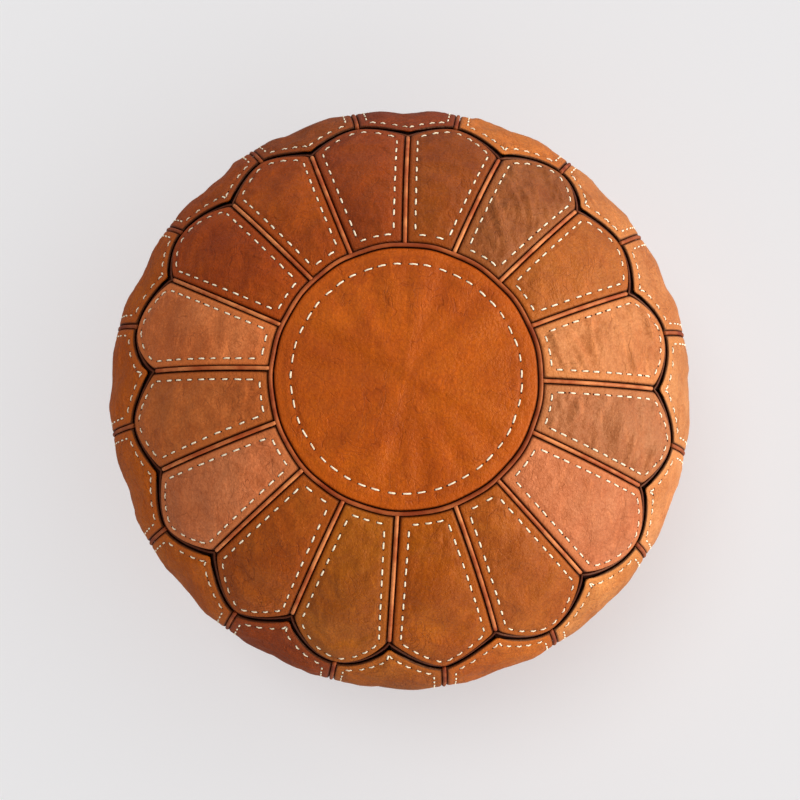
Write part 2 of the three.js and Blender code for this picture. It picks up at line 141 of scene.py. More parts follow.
TIP_ARC = WIDEST_ARC - 84 * MM
SEAM_AT_MEDALLION = [4.1, 6, 1, 2.6, -4.6, -3, -2.8, -4.8, -3.8, 0, -3.3, 1.3, 1.4, 3.6, 5.1, 5.8]
SEAM_AT_NOTCH = [1.9, 3.5, 0.2, -2.7, -3.8, -4.6, -6.5, -6.6, -6.7, -3.1, 0, 4, 3.3, 5, 7.3, 3.7]
SEAM_AT_TIP = [2.7, 1.1, 2.2, 1.1, -5.1, -4.2, -5.1, -5, -6.2, -3.9, 6.1, 3.1, 9, 5.2, -2.5, 6.7]


def half_steps(at_seams, at_middles):
    """Offsets in mm at the seams and midway between them, as one closed list."""
    both = np.stack([at_seams, at_middles], 1).ravel()
    return np.append(both, both[0]) * MM


KNOTS = np.arange(2 * PETALS + 1) * STEP / 2
WANDER_HIGH = half_steps(SEAM_AT_MEDALLION, (np.array(SEAM_AT_MEDALLION) + np.roll(SEAM_AT_MEDALLION, -1)) / 2)
WANDER_LOW = half_steps(SEAM_AT_NOTCH, SEAM_AT_TIP)


def wander(angle, arc):
    """How far the hand-cut seams have wandered round the body, as an angle."""
    turn = np.mod(np.asarray(angle) - FIRST_SEAM, 2 * math.pi)
    high = np.interp(turn, KNOTS, WANDER_HIGH) / MEDALLION_RADIUS
    low = np.interp(turn, KNOTS, WANDER_LOW) / radius_at(TIP_ARC)
    share = np.clip((arc - MEDALLION_ARC) / (TIP_ARC - MEDALLION_ARC), 0, 1)
    started = smooth(arc, MEDALLION_ARC - 30 * MM, MEDALLION_ARC)
    ended = 1 - smooth(arc, WIDEST_ARC, BASE_ARC - 10 * MM)
    return (high * (1 - share) + low * share) * started * ended


def drift(angle, arc, phase):
    """A slow wander between -1 and 1, the same for every piece at one place."""
    slow = np.sin(3 * angle + 9 * arc + phase)
    middling = 0.7 * np.sin(7 * angle - 14 * arc + 2.1 * phase)
    quick = 0.5 * np.sin(17 * angle + 25 * arc + 3.7 * phase)
    return (slow + middling + quick) / 2.2


def on_body(angle, arc, depth):
    """Places on the body, with the small unevenness of handwork."""
    loose = 1 - smooth(arc, BASE_ARC - 60 * MM, BASE_ARC - 10 * MM)
    seat_arc = arc + 0.7 * MM * loose * drift(angle, arc, 0.4)
    radius = np.interp(seat_arc, ARCS, RADII)
    out = np.interp(seat_arc, ARCS, RUN_OUT)
    down = np.interp(seat_arc, ARCS, RUN_DOWN)
    facet = FACET_SINK * down**2 * (1 + np.cos(PETALS * (angle - FIRST_SEAM))) / 2
    inward = depth + loose * (facet - 1.5 * MM * drift(angle, arc, 1.9))
    slip = 0.6 * MM * loose * drift(angle, arc, 3.2) / np.maximum(radius, 20 * MM)
    turned = angle + slip + wander(angle, arc)
    wide = radius + down * inward
    high = np.interp(seat_arc, ARCS, HEIGHTS) - out * inward
    return np.stack([wide * np.cos(turned), wide * np.sin(turned), high + 0 * wide], -1)


def outward(angle, arc):
    """The direction straight out of the body."""
    way = on_body(angle, arc, 0 * MM) - on_body(angle, arc, 1 * MM)
    return way / np.linalg.norm(way, axis=-1, keepdims=True)


print("outline, mm:", round(ARCS[-1] / MM), "medallion seam at", round(MEDALLION_ARC / MM, 1))

# %% [markdown]
# ## The scalloped seam
# Each petal is cut by eye, so no two ends are alike: some are pointed, some are arches. A power curve
# runs from a petal's tip to the notch beside it. A power near 1 gives straight sides and a power above 2
# gives an arch, so one list of powers gives each petal its own end.

# %% The wavy seam between petals and side panels
SCALLOP_DEPTH = 28 * MM
TIP_POWER = [1.5, 1.35, 2.0, 2.1, 1.5, 1.45, 1.3, 1.9, 1.2, 1.6, 1.8, 1.5, 1.9, 1.6, 1.9, 1.5]
TIP_REACH = [-9.5, -3.3, 0, -1.8, -5.8, -2.2, 7.2, 10.2, 8.9, 12, 7.6, 1.5, -9.1, -16, -4.2, -7.1]
NOTCH_REACH = [1.7, -2.4, 0, 4.7, -4.1, 2.7, -3.4, 1.9, 4, 10, 4.7, 3.6, -3.9, -10.6, -5.3, -4.9]


def scallop_arc(angle):
    """How far down the outline the wavy seam lies at an angle."""
    turns = (np.asarray(angle) - FIRST_SEAM) / STEP - 0.5
    petal = np.round(turns).astype(int)
    from_tip = turns - petal
    notch = np.where(from_tip > 0, petal + 1, petal) % PETALS
    petal = petal % PETALS
    tip = TIP_ARC + np.take(TIP_REACH, petal) * MM
    valley = TIP_ARC - SCALLOP_DEPTH + np.take(NOTCH_REACH, notch) * MM
    rise = np.abs(2 * from_tip) ** np.take(TIP_POWER, petal)
    return tip + (valley - tip) * rise


def scallop_slant(angle):
    """The wavy seam's length per distance round the body, 1 where it runs level."""
    tick = 0.004
    rise = (scallop_arc(angle + tick) - scallop_arc(angle - tick)) / (2 * tick)
    return np.hypot(1, rise / radius_at(TIP_ARC))


print("petal tips at", round(TIP_ARC / MM), "mm down the outline")

# %% [markdown]
# ## Materials: a wrapper for shader maths
# Leather's colour and gloss vary with many small things added together. Written as node links, that
# is hard to read. A small class that wraps a socket lets the sums be written as sums.


# %% A socket that can be added and multiplied
class Value:
    """A shader socket that takes part in arithmetic."""

    def __init__(self, shader, socket):
        self.shader = shader
        self.socket = socket

    def _math(self, operation, first, second):
        return self.shader.node("ShaderNodeMath", {"operation": operation}, [first, second])

    def __add__(self, other):
        return self._math("ADD", self, other)

    def __radd__(self, other):
        return self._math("ADD", other, self)

    def __sub__(self, other):
        return self._math("SUBTRACT", self, other)

    def __rsub__(self, other):
        return self._math("SUBTRACT", other, self)

    def __mul__(self, other):
        return self._math("MULTIPLY", self, other)

    def __rmul__(self, other):
        return self._math("MULTIPLY", other, self)

    def __truediv__(self, other):
        return self._math("DIVIDE", self, other)

    def __pow__(self, other):
        return self._math("POWER", self, other)


class Shader:
    """A material's node tree, and the one way to add a node to it."""

    def __init__(self, name, **fixed):
        self.material = bpy.data.materials.new(name)
        self.material.use_nodes = True
        self.tree = self.material.node_tree
        self.principled = self.tree.nodes["Principled BSDF"]
        for socket, value in fixed.items():
            self.principled.inputs[socket.replace("_", " ")].default_value = value

    def node(self, kind, settings=None, inputs=None, output=0):
        """Adds a node, sets its settings, then its inputs by number or by name."""
        made = self.tree.nodes.new(kind)
        for key, value in (settings or {}).items():
            if key == "stops":
                self.set_stops(made.color_ramp, value)
            else:
                setattr(made, key, value)
        pairs = inputs.items() if isinstance(inputs, dict) else enumerate(inputs or [])
        for key, value in pairs:
            self.connect(made.inputs[key], value)
        return Value(self, made.outputs[output])

    def connect(self, socket, value):
        if isinstance(value, Value):
            self.tree.links.new(value.socket, socket)
        else:
            socket.default_value = value

    @staticmethod
    def set_stops(ramp, stops):
        while len(ramp.elements) < len(stops):
            ramp.elements.new(1)
        for element, (position, colour) in zip(ramp.elements, stops):
            element.position = position
            element.color = colour

    def place(self):
        return self.node("ShaderNodeTexCoord", output="Object")

    def scaled(self, place, scale):
        return self.node("ShaderNodeMapping", {}, {"Vector": place, "Scale": scale})

    def noise(self, place, scale, detail=3.0, roughness=0.55, distortion=0.0):
        wanted = {
            "Vector": place,
            "Scale": scale,
            "Detail": detail,
            "Roughness": roughness,
            "Distortion": distortion,
        }
        return self.node("ShaderNodeTexNoise", {}, wanted)

    def warped(self, place, scale, amount):
        """A place pushed about by noise, which makes straight patterns wander."""
        wanted = {"Vector": place, "Scale": scale, "Detail": 2.0}
        push = self.node("ShaderNodeTexNoise", {}, wanted, output="Color")
        settings = {"operation": "MULTIPLY_ADD"}
        return self.node("ShaderNodeVectorMath", settings, [push, (amount,) * 3, place])

    def line(self, value, width):
        """1 where a value crosses its middle, 0 further away than width: a thin wandering line."""
        away = self.node("ShaderNodeMath", {"operation": "ABSOLUTE"}, [value - 0.5])
        return 1 - self.ramp(away, 0.0, width)

    def cells(self, place, scale, feature="F1"):
        return self.node("ShaderNodeTexVoronoi", {"feature": feature}, {"Vector": place, "Scale": scale})

    def ramp(self, value, low, high):
        """0 where value is at low, 1 where it is at high, smooth between."""
        wanted = {"Value": value, "From Min": low, "From Max": high}
        return self.node("ShaderNodeMapRange", {"interpolation_type": "SMOOTHSTEP"}, wanted)

    def attribute(self, name, output="Fac"):
        return self.node("ShaderNodeAttribute", {"attribute_name": name}, output=output)

    def mix(self, factor, first, second, blend="MIX"):
        """Mixes two colours."""
        settings = {"data_type": "RGBA", "blend_type": blend}
        return self.node("ShaderNodeMix", settings, {0: factor, 6: first, 7: second}, output=2)

    def bump(self, height, distance, strength=1.0, under=None):
        wanted = {"Height": height, "Distance": distance, "Strength": strength}
        if under is not None:
            wanted["Normal"] = under
        return self.node("ShaderNodeBump", {}, wanted)

    def finish(self, **driven):
        for socket, value in driven.items():
            self.connect(self.principled.inputs[socket.replace("_", " ")], value)
        return self.material


def rgb(red, green, blue):
    """A colour given as a screen shows it, 0 to 255, in the renderer's linear light."""

    def linear(v):
        v = v / 255
        return v / 12.92 if v <= 0.04045 else ((v + 0.055) / 1.055) ** 2.4

    return (linear(red), linear(green), linear(blue), 1)


print("the screen's mid grey is", round(rgb(128, 128, 128)[0], 3), "in linear light")

# %% [markdown]
# ## The leather
# It is vegetable-tanned goat, dyed by hand. Each panel has its own tint, and the dye takes a little
# unevenly. The grain is fine cells about a millimetre across, with fine pale flecks that are painted
# glints. Thin creases run through it in places, some in a net and some in long lines, and they are
# painted darker as painted shade. The border outside the stitches is painted paler and more orange:
# partly the leather's own tone and partly painted sheen on the rounded edges. Close to the seams the
# leather is painted dark brown: partly dirt and partly painted shade in the grooves. The panels carry
# their tint and their distance from the nearest seam as attributes, so one material serves them all.


# %% The panels' leather
WARM_SHEEN = (1, 0.72, 0.42, 1)


def leather_material(name, roughness=0.4):
    leather = Shader(name, Specular_IOR_Level=0.3, Specular_Tint=WARM_SHEEN)
    place = leather.place()
    tint = leather.attribute("tint", "Color")
    edge = leather.attribute("edge")

    clouds = leather.noise(place, 15.0, 4.0, 0.6, 0.4)
    blotches = leather.noise(place, 55.0, 5.0, 0.7, 0.3)
    streaks = leather.noise(leather.scaled(place, (210, 40, 60)), 1.0, 4.0, 0.65, 0.6)
    specks = leather.noise(place, 480.0, 4.0, 0.7)
    pits_and_glints = leather.noise(place, 1100.0, 2.0, 0.5)
    pebbles = leather.cells(leather.warped(place, 120.0, 0.004), 420.0)

    dark = leather.mix(1.0, tint, rgb(200, 162, 120), "MULTIPLY")
    pale = leather.mix(1.0, tint, (1.5, 1.42, 1.25, 1), "MULTIPLY")
    ruddy = leather.mix(1.0, tint, (1.12, 0.82, 0.66, 1), "MULTIPLY")
    warmth = leather.noise(place, 26.0, 3.0, 0.55, 0.5)
    body = leather.mix(leather.ramp(warmth, 0.4, 0.68) * 0.3, tint, ruddy)
    body = leather.mix(leather.ramp(clouds, 0.36, 0.68) * 0.6, body, dark)
    body = leather.mix(leather.ramp(blotches, 0.48, 0.72) * 0.42, body, dark)
    body = leather.mix(leather.ramp(streaks, 0.5, 0.74) * 0.4, body, pale)
    body = leather.mix(leather.ramp(specks, 0.5, 0.7) * 0.34, body, dark)
    # Painted glints: fine pale flecks where small glints of light are painted into the colour.
    body = leather.mix(leather.ramp(pits_and_glints, 0.56, 0.7) * 0.35, body, pale)
    body = leather.mix(leather.ramp(pebbles, 0.35, 0.8) * 0.28, body, dark)

    bent = leather.warped(place, 30.0, 0.03)
    net = 1 - leather.ramp(leather.cells(bent, 62.0, "DISTANCE_TO_EDGE"), 0.0, 0.05)
    net = net * leather.ramp(leather.noise(place, 21.0, 2.0), 0.46, 0.6)
    long_lines = leather.line(leather.noise(leather.scaled(bent, (58, 11, 20)), 1.0, 3.0, 0.55), 0.009)
    long_lines = long_lines * leather.ramp(leather.noise(place, 13.0, 2.0), 0.44, 0.58)
    slant_lines = leather.line(leather.noise(leather.scaled(bent, (14, 44, 16)), 1.0, 3.0, 0.6), 0.008)
    slant_lines = slant_lines * leather.ramp(leather.noise(place, 17.0, 2.0), 0.5, 0.62)
    creases = net * 0.4 + long_lines * 0.8 + slant_lines * 0.7
    # Painted shade: the creases are painted darker than the leather round them.
    body = leather.mix(creases * 0.42, body, leather.mix(1.0, dark, rgb(196, 160, 130), "MULTIPLY"))

    # Painted sheen: the border outside the stitches is painted paler and more orange, partly the leather's own
    # tone and partly the sheen of the rounded edges.
    border = 1 - leather.ramp(edge, 7.5 * MM, 10.0 * MM)
    body = leather.mix(border * 0.5, body, leather.mix(1.0, tint, rgb(255, 240, 205), "MULTIPLY"))
    # Painted shade and dirt: the leather is painted dark brown close to the seams, partly dirt and partly the
    # shade in the grooves.
    seam_dirt_and_shade = 1 - leather.ramp(edge, 2.3 * MM, 4.0 * MM)
    body = leather.mix(seam_dirt_and_shade * 0.9, body, rgb(52, 18, 8))

    grain = leather.cells(place, 1000.0)
    dimples = leather.noise(place, 240.0, 4.0, 0.65)
    fine = leather.bump(pebbles * -0.6 + grain * 0.4 + pits_and_glints * 0.4, 0.4 * MM, 1.0)
    middling = leather.bump(dimples + specks * 0.4, 0.8 * MM, 0.8, under=fine)
    coarse = leather.bump(blotches * 0.9 - creases * 0.5, 0.8 * MM, 0.8, under=middling)
    gloss = roughness + blotches * 0.2 - 0.1 + specks * 0.16 - 0.08
    return leather.finish(Base_Color=body, Roughness=gloss, Normal=coarse)


panel_leather = leather_material("panel_leather")
print("made", panel_leather.name)

# %% [markdown]
# ## The piping's leather, thread and brass
# The piping is a strip of the same leather pulled tight round a cord, so it is paler where it is rubbed
# and has no clouds. The thread is twisted cream cotton. The zip is brass on a brown tape.


# %% Piping leather
def piping_material(name, tone):
    piping = Shader(name, Specular_IOR_Level=0.4, Specular_Tint=WARM_SHEEN)
    place = piping.place()
    patches = piping.noise(place, 40.0, 3.0, 0.6)
    specks = piping.noise(place, 380.0, 3.0, 0.6)
    deep = piping.mix(1.0, tone, rgb(190, 138, 112), "MULTIPLY")
    body = piping.mix(piping.ramp(patches, 0.35, 0.7), deep, tone)
    body = piping.mix(piping.ramp(specks, 0.55, 0.75) * 0.5, body, deep)
    grain = piping.bump(piping.cells(place, 900.0) + specks, 0.14 * MM, 0.7)
    return piping.finish(Base_Color=body, Roughness=0.36 + specks * 0.2, Normal=grain)


petal_piping_leather = piping_material("petal_piping_leather", rgb(216, 132, 76))
ring_piping_leather = piping_material("ring_piping_leather", rgb(172, 88, 42))
seam_piping_leather = piping_material("seam_piping_leather", rgb(104, 46, 22))


# %% Thread
def thread_material():
    thread = Shader("thread", Specular_IOR_Level=0.3, Sheen_Weight=0.1)
    place = thread.place()
    fibre = thread.noise(place, 1300.0, 3.0, 0.6)
    patches = thread.noise(place, 60.0, 2.0)
    body = thread.mix(thread.ramp(fibre, 0.3, 0.7), rgb(228, 208, 168), rgb(255, 248, 224))
    body = thread.mix(thread.ramp(patches, 0.55, 0.75) * 0.35, body, rgb(222, 190, 140))
    return thread.finish(Base_Color=body, Roughness=0.85, Normal=thread.bump(fibre, 0.25 * MM, 0.8))


# %% Painted shade: the dark of a needle hole, and the leather's flesh side deep in a seam painted near-black
def dark_material(name, deep, less_deep):
    dark = Shader(name, Specular_IOR_Level=0.1)
    place = dark.place()
    body = dark.mix(dark.noise(place, 300.0), deep, less_deep)
    return dark.finish(Base_Color=body, Roughness=0.9, Normal=dark.bump(dark.noise(place, 700.0), 0.2 * MM))


# %% Brass, tape and cotton
def brass_material():
    brass = Shader("aged_brass", Metallic=1.0)
    place = brass.place()
    tarnish = brass.noise(place, 160.0, 4.0, 0.65)
    scuffs = brass.noise(brass.scaled(place, (2600, 420, 420)), 1.0, 3.0)
    body = brass.mix(brass.ramp(tarnish, 0.45, 0.75), rgb(206, 168, 98), rgb(132, 96, 52))
    gloss = 0.24 + tarnish * 0.22 + scuffs * 0.1
    return brass.finish(Base_Color=body, Roughness=gloss, Normal=brass.bump(scuffs, 0.02 * MM, 0.5))


def woven_material(name, tone, shade, threads):
    """A plain weave: two sets of ridges at right angles, each over the other in turn."""
    cloth = Shader(name, Specular_IOR_Level=0.25, Sheen_Weight=0.2)
    place = cloth.place()
    settings = {"wave_type": "BANDS", "bands_direction": "X"}
    wanted = {"Vector": place, "Scale": threads / 20, "Distortion": 0.4, "Detail": 1.0}
    warp = cloth.node("ShaderNodeTexWave", settings, wanted, output="Fac")
    weft = cloth.node("ShaderNodeTexWave", {**settings, "bands_direction": "Y"}, wanted, output="Fac")
    weave = warp * weft
    slub = cloth.noise(place, 120.0, 3.0)
    # Painted shade: the weave is painted darker where the threads dip under each other.
    body = cloth.mix(weave, shade, tone)
    body = cloth.mix(cloth.ramp(slub, 0.5, 0.75) * 0.3, body, shade)
    return cloth.finish(Base_Color=body, Roughness=0.9, Normal=cloth.bump(weave, 0.3 * MM, 0.7))


thread_cotton = thread_material()
# Painted shade: dark discs for the needle holes, and a near-black flesh side for the shade deep in the seams.
hole_shade_paint = dark_material("painted_needle_shade", rgb(44, 16, 8), rgb(74, 30, 14))
flesh_in_painted_shade = dark_material("flesh_in_painted_shade", rgb(34, 13, 7), rgb(58, 25, 13))
aged_brass = brass_material()
tape_weave = woven_material("zip_tape_weave", rgb(104, 66, 40), rgb(58, 34, 20), 1400)
bag_cotton = woven_material("bag_cotton", rgb(232, 224, 204), rgb(190, 180, 158), 900)
wadding_fluff = woven_material("wadding", rgb(246, 243, 234), rgb(222, 216, 200), 260)
print("materials:", len(bpy.data.materials))

# %% [markdown]
# ## Sewing a panel
# A panel is made in four steps. A flat grid is bent over the body. The cloth solver then slackens it: its
# border is held where the stitches are, the middle is given a few percent more leather than the space has,
# and a little pressure from the stuffing pushes it out, so it puffs and wrinkles as leather does.
# It is subdivided, and last its edges are rolled down into the seams.


# %% From a bmesh to a finished piece
def piece_from(bm, name, materials):
    mesh = bpy.data.meshes.new(name)
    bm.to_mesh(mesh)
    bm.free()
    made = bpy.data.objects.new(name, mesh)
    bpy.context.scene.collection.objects.link(made)
    for material in materials:
        mesh.materials.append(material)
    mesh.shade_smooth()
    return made


def settle(piece):
    """Applies a piece's modifiers to its mesh."""
    bpy.context.view_layer.update()
    graph = bpy.context.evaluated_depsgraph_get()
    settled = bpy.data.meshes.new_from_object(
        piece.evaluated_get(graph), preserve_all_data_layers=True, depsgraph=graph
    )
    old = piece.data
    piece.modifiers.clear()
    piece.data = settled
    bpy.data.meshes.remove(old)
    settled.name = piece.name
    settled.shade_smooth()
    return piece


def places(piece):
    found = np.empty(len(piece.data.vertices) * 3, np.float32)
    piece.data.vertices.foreach_get("co", found)
    return found.reshape(-1, 3).astype(float)


def move_to(piece, co):
    piece.data.vertices.foreach_set("co", np.asarray(co, np.float32).ravel())
    piece.data.update()


def write_value(piece, name, values):
    kept = piece.data.attributes.get(name) or piece.data.attributes.new(name, "FLOAT", "POINT")
    kept.data.foreach_set("value", np.asarray(values, np.float32).ravel())


def read_value(piece, name):
    found = np.empty(len(piece.data.vertices), np.float32)
    piece.data.attributes[name].data.foreach_get("value", found)
    return found.astype(float)


def write_tint(piece, colour):
    kept = piece.data.attributes.new("tint", "FLOAT_COLOR", "POINT")
    kept.data.foreach_set("color", np.tile(np.asarray(colour, np.float32), len(piece.data.vertices)))


# %% Slackening with the cloth solver
SIM_FRAMES = 16
MOST_SLACK_MOVE = 4.5 * MM


def slacken(piece, held, slack, push):
    """Lets the cloth solver settle a panel that has more leather than its place, then caps the move."""
    group = piece.vertex_groups.new(name="held")
    for index, weight in enumerate(held):
        group.add([index], float(weight), "REPLACE")
    cloth = piece.modifiers.new("slack leather", "CLOTH")
    settings = cloth.settings
    settings.quality = 5
    settings.mass = 0.2
    settings.tension_stiffness = 30
    settings.compression_stiffness = 30
    settings.shear_stiffness = 10
    settings.bending_stiffness = 0.4
    settings.air_damping = 2
    settings.vertex_group_mass = "held"
    settings.shrink_min = -slack
    settings.use_pressure = True
    settings.uniform_pressure_force = push
    settings.effector_weights.gravity = 0
    cloth.point_cache.frame_start = 1
    cloth.point_cache.frame_end = SIM_FRAMES
    before = places(piece)
    for step in range(1, SIM_FRAMES + 1):
        bpy.context.scene.frame_set(step)
    settle(piece)
    piece.vertex_groups.clear()
    moved = places(piece) - before
    size = np.linalg.norm(moved, axis=1, keepdims=True)
    scale = MOST_SLACK_MOVE * np.tanh(size / MOST_SLACK_MOVE) / np.maximum(size, 1e-9)
    move_to(piece, before + moved * scale)
    bpy.context.scene.frame_set(1)
    return float(size.max())


# %% A bent grid that knows its edges
def soft_least(*distances):
    """The least of several distances, rounded where two are equal."""
    total = sum(1 / np.maximum(d, 0.05 * MM) ** 5 for d in distances)
    return total ** (-1 / 5)


def crowd(share, crowding=0.3):
    """Moves evenly spaced shares, -1 to 1, closer together towards both ends."""
    return share * (1 + crowding - crowding * share * share)


def bent_grid(name, columns, rows, seat, material):
    """A grid whose points lie where seat(across, down) says: an angle, an arc and an edge distance."""
    bm = bmesh.new()
    bmesh.ops.create_grid(bm, x_segments=columns, y_segments=rows, size=1)
    across = crowd(np.array([v.co.x for v in bm.verts]))
    down = (1 - crowd(np.array([v.co.y for v in bm.verts]))) / 2
    angle, arc, edge = seat(across, down)
    for vert, co in zip(bm.verts, on_body(angle, arc, 0)):
        vert.co = co
    made = piece_from(bm, name, [material])
    write_value(made, "angle", angle)
    write_value(made, "arc", arc)
    write_value(made, "edge", edge)
    return made


def subdivide(piece):
    finer = piece.modifiers.new("finer", "SUBSURF")
    finer.levels = 1
    finer.render_levels = 1
    finer.boundary_smooth = "PRESERVE_CORNERS"
    return settle(piece)


# %% [markdown]
# ## Rows of stitches
# The stitches run 9 mm inside the seams, parallel to them, and turn square at the corners. Each is a
# short thick thread that rises from one needle hole and dives into the next, and it pulls the leather
# down under itself. So the rows are laid out first, the leather is pressed in along them, and then the
# threads are laid on the pressed leather.

# %% Sizes of the stitches
ROW_INSET = 9 * MM
STITCH = 5.7 * MM
STITCH_PITCH = 11 * MM
THREAD_RADIUS = 0.62 * MM


def run_of(start, end, count=60):
    return start + (end - start) * np.linspace(0, 1, count)


def stitches_along(angle, arc, pitch=STITCH_PITCH, length=STITCH):
    """Splits a run over the body into stitches: for each, the seats of its two ends."""
    co = on_body(angle, arc, 0)
    gone = np.concatenate([[0], np.cumsum(np.linalg.norm(np.diff(co, axis=0), axis=1))])
    count = max(1, round(gone[-1] / pitch))
    uneven = np.sin(np.arange(count) * 2.3 + 40 * gone[-1] + 9 * angle[0])
    middles = (np.arange(count) + 0.5 + 0.06 * uneven) * gone[-1] / count
    half = length / 2 * min(1, gone[-1] / count / pitch * 1.05) * (1 + 0.1 * np.roll(uneven, 1))
    starts = np.stack([np.interp(middles - half, gone, v) for v in (angle, arc)], 1)
    ends = np.stack([np.interp(middles + half, gone, v) for v in (angle, arc)], 1)
    return list(zip(starts, ends))


def panel_stitches(middle, top_arc, bottom_arc, top_row, bottom_row):
    """Four rows inside a panel's edges. The seams' arcs are given as functions of the angle."""
    found = []
    corners = {}
    for side in (-1, 1):
        arc = run_of(top_arc(middle) + top_row, bottom_arc(middle) - bottom_row)
        angle = middle + side * (STEP / 2 - ROW_INSET / radius_at(arc))
        top = top_arc(angle) + top_row * slant_of(top_arc, angle)
        bottom = bottom_arc(angle) - bottom_row * slant_of(bottom_arc, angle)
        inside = (arc > top) & (arc < bottom)
        found += stitches_along(angle[inside], arc[inside])
        corners[side] = (angle[inside][0], angle[inside][-1])
    for end, seam, inset in ((0, top_arc, top_row), (1, bottom_arc, -bottom_row)):
        halves = [run_of(corners[-1][end], corners[1][end], 81)]
        if seam is scallop_arc:
            halves = [run_of(corners[-1][end], middle, 41), run_of(middle, corners[1][end], 41)]
        for angle in halves:
            found += stitches_along(angle, seam(angle) + inset * slant_of(seam, angle))
    return found


def slant_of(seam, angle):
    return scallop_slant(angle) if seam is scallop_arc else np.ones_like(angle)


# %% Pressing the leather in, and shaping its edges
ROLL_WIDTH = 3.4 * MM
ROLL_DEPTH = 2.6 * MM
PRESS_DEPTH = 0.8 * MM


def folds(co, fold_way, size, amount):
    """Folds that run along one direction: sharp valleys between soft ridges."""
    way = Vector(fold_way).normalized()
    found = np.empty(len(co))
    for index, point in enumerate(co):
        point = Vector(point)
        along = way * point.dot(way)
        squeezed = (point - along + along * 0.22) / size
        low = noise.noise(squeezed)
        high = noise.noise(squeezed * 2.7 + Vector((5, 3, 1)))
        found[index] = abs(low) * 1.5 + abs(high) * 0.5 - 0.45
    return found * amount


def shape_leather(piece, stitches, roll, fold, fold_way, fold_size=9 * MM):
    """Rolls a panel's edges into the seams, presses the stitch rows in and adds folds."""
    co = places(piece)
    angle, arc, edge = (read_value(piece, n) for n in ("angle", "arc", "edge"))
    way = outward(angle, arc)
    inset, roll_depth = roll
    over = 1 - np.clip((edge - inset) / ROLL_WIDTH, 0, 1)
    lift = -roll_depth * (1 - np.sqrt(1 - over**2))
    ends = np.array([(a, b) for a, b in stitches]).reshape(-1, 2, 2)
    first = on_body(ends[:, 0, 0], ends[:, 0, 1], 0)
    last = on_body(ends[:, 1, 0], ends[:, 1, 1], 0)
    middle, run = (first + last) / 2, last - first
    length = np.linalg.norm(run, axis=1)
    for centre, line, long in zip(middle, run / length[:, None], length):
        gap = co - centre
        near = np.abs(gap).max(1) < 9 * MM
        along = gap[near] @ line
        beside = np.linalg.norm(gap[near] - along[:, None] * line, axis=1)
        pull = np.exp(-((along / (0.62 * long)) ** 4)) * np.exp(-((beside / (2.0 * MM)) ** 2))
        swell = np.exp(-((along / (0.9 * long)) ** 2)) * np.exp(-(((beside - 4 * MM) / (1.8 * MM)) ** 2))
        lift[near] += -PRESS_DEPTH * pull + 0.16 * MM * swell
    inner = smooth(edge, 5 * MM, 14 * MM)
    lift += inner * folds(co, fold_way, fold_size, fold)
    move_to(piece, co + way * lift[:, None])


# %% Thickness
LEATHER = 1.4 * MM


def thicken(piece, thickness=LEATHER):
    wall = piece.modifiers.new("thickness", "SOLIDIFY")
    wall.thickness = thickness
    wall.offset = -1
    return settle(piece)


# %% Laying threads on the leather
def surface_of(piece):
    mesh = piece.data
    corners = [v.co for v in mesh.vertices]
    return BVHTree.FromPolygons(corners, [tuple(p.vertices) for p in mesh.polygons])


def drop_on(tree, seat):
    """The leather's surface over a seat on the body, and the way out of it."""
    angle, arc = (np.array([v]) for v in seat)
    base = Vector(on_body(angle, arc, 0)[0])
    way = Vector(outward(angle, arc)[0])
    hit = tree.ray_cast(base + way * 20 * MM, -way, 40 * MM)[0]
    return (hit if hit is not None else base), way


def add_thread(bm, first, last, way, flatness=0):
    """One stitch: a stretched ball, arched so that its ends dive into the leather."""
    run = last - first
    half = run.length / 2
    along = run.normalized()
    side = way.cross(along).normalized()
    hand = noise.noise_vector(first * 300)
    along = (along + side * 0.12 * hand.x).normalized()
    side = way.cross(along).normalized() * (1 + 0.2 * hand.y)
    up = along.cross(side)
    made = bmesh.ops.create_uvsphere(bm, u_segments=8, v_segments=8, radius=THREAD_RADIUS)
    for vert in made["verts"]:
        x, y, z = vert.co
        stretch = math.copysign(half - THREAD_RADIUS * 0.4, z) if abs(z) > 0.01 * MM else 0
        reach = z + stretch
        arch = 0.5 * MM - 0.95 * MM * (reach / half) ** 2 - flatness
        vert.co = (first + last) / 2 + along * reach + side * (x * 1.1) + up * (y * 0.85 + arch)


def paint_hole_shade(bm, at, way, along):
    """Painted shade of a needle hole's mouth: a flat dark disc pulled a little along the row."""
    side = way.cross(along).normalized()
    turned = Matrix((along, side, way)).transposed().to_4x4()
    frame_at = Matrix.Translation(at + way * 0.1 * MM) @ turned @ Matrix.Diagonal((1.25, 0.95, 1, 1))
    made = bmesh.ops.create_circle(bm, cap_ends=True, segments=8, radius=0.95 * MM, matrix=frame_at)
    for face in {f for v in made["verts"] for f in v.link_faces}:
        face.material_index = 1


def sew(piece, stitches):
    """The threads of one panel and the painted shade of their needle holes, as a mesh of their own."""
    bm = bmesh.new()
    tree = surface_of(piece)
    for start, end in stitches:
        first, way = drop_on(tree, start)
        last, _ = drop_on(tree, end)
        along = (last - first).normalized()
        add_thread(bm, first, last, way)
        paint_hole_shade(bm, first - along * 0.3 * MM, way, along)
        paint_hole_shade(bm, last + along * 0.3 * MM, way, along)
    sewn = bpy.data.meshes.new("threads")
    bm.to_mesh(sewn)
    bm.free()
    return sewn


def joined(meshes):
    """One bmesh of several meshes. Small meshes are quick to build, so long work is joined last."""
    bm = bmesh.new()
    for mesh in meshes:
        bm.from_mesh(mesh)
        bpy.data.meshes.remove(mesh)
    return bm


print("a stitch is", round(STITCH / MM, 1), "mm of a", round(STITCH_PITCH / MM, 1), "mm pitch")

# %% [markdown]
# ## The petals
# Sixteen wedges of leather with pointed or arched ends. Each was cut from another part of the skin, so
# each has its own tint, and some were slacker than others when they were sewn, which shows as wrinkles.

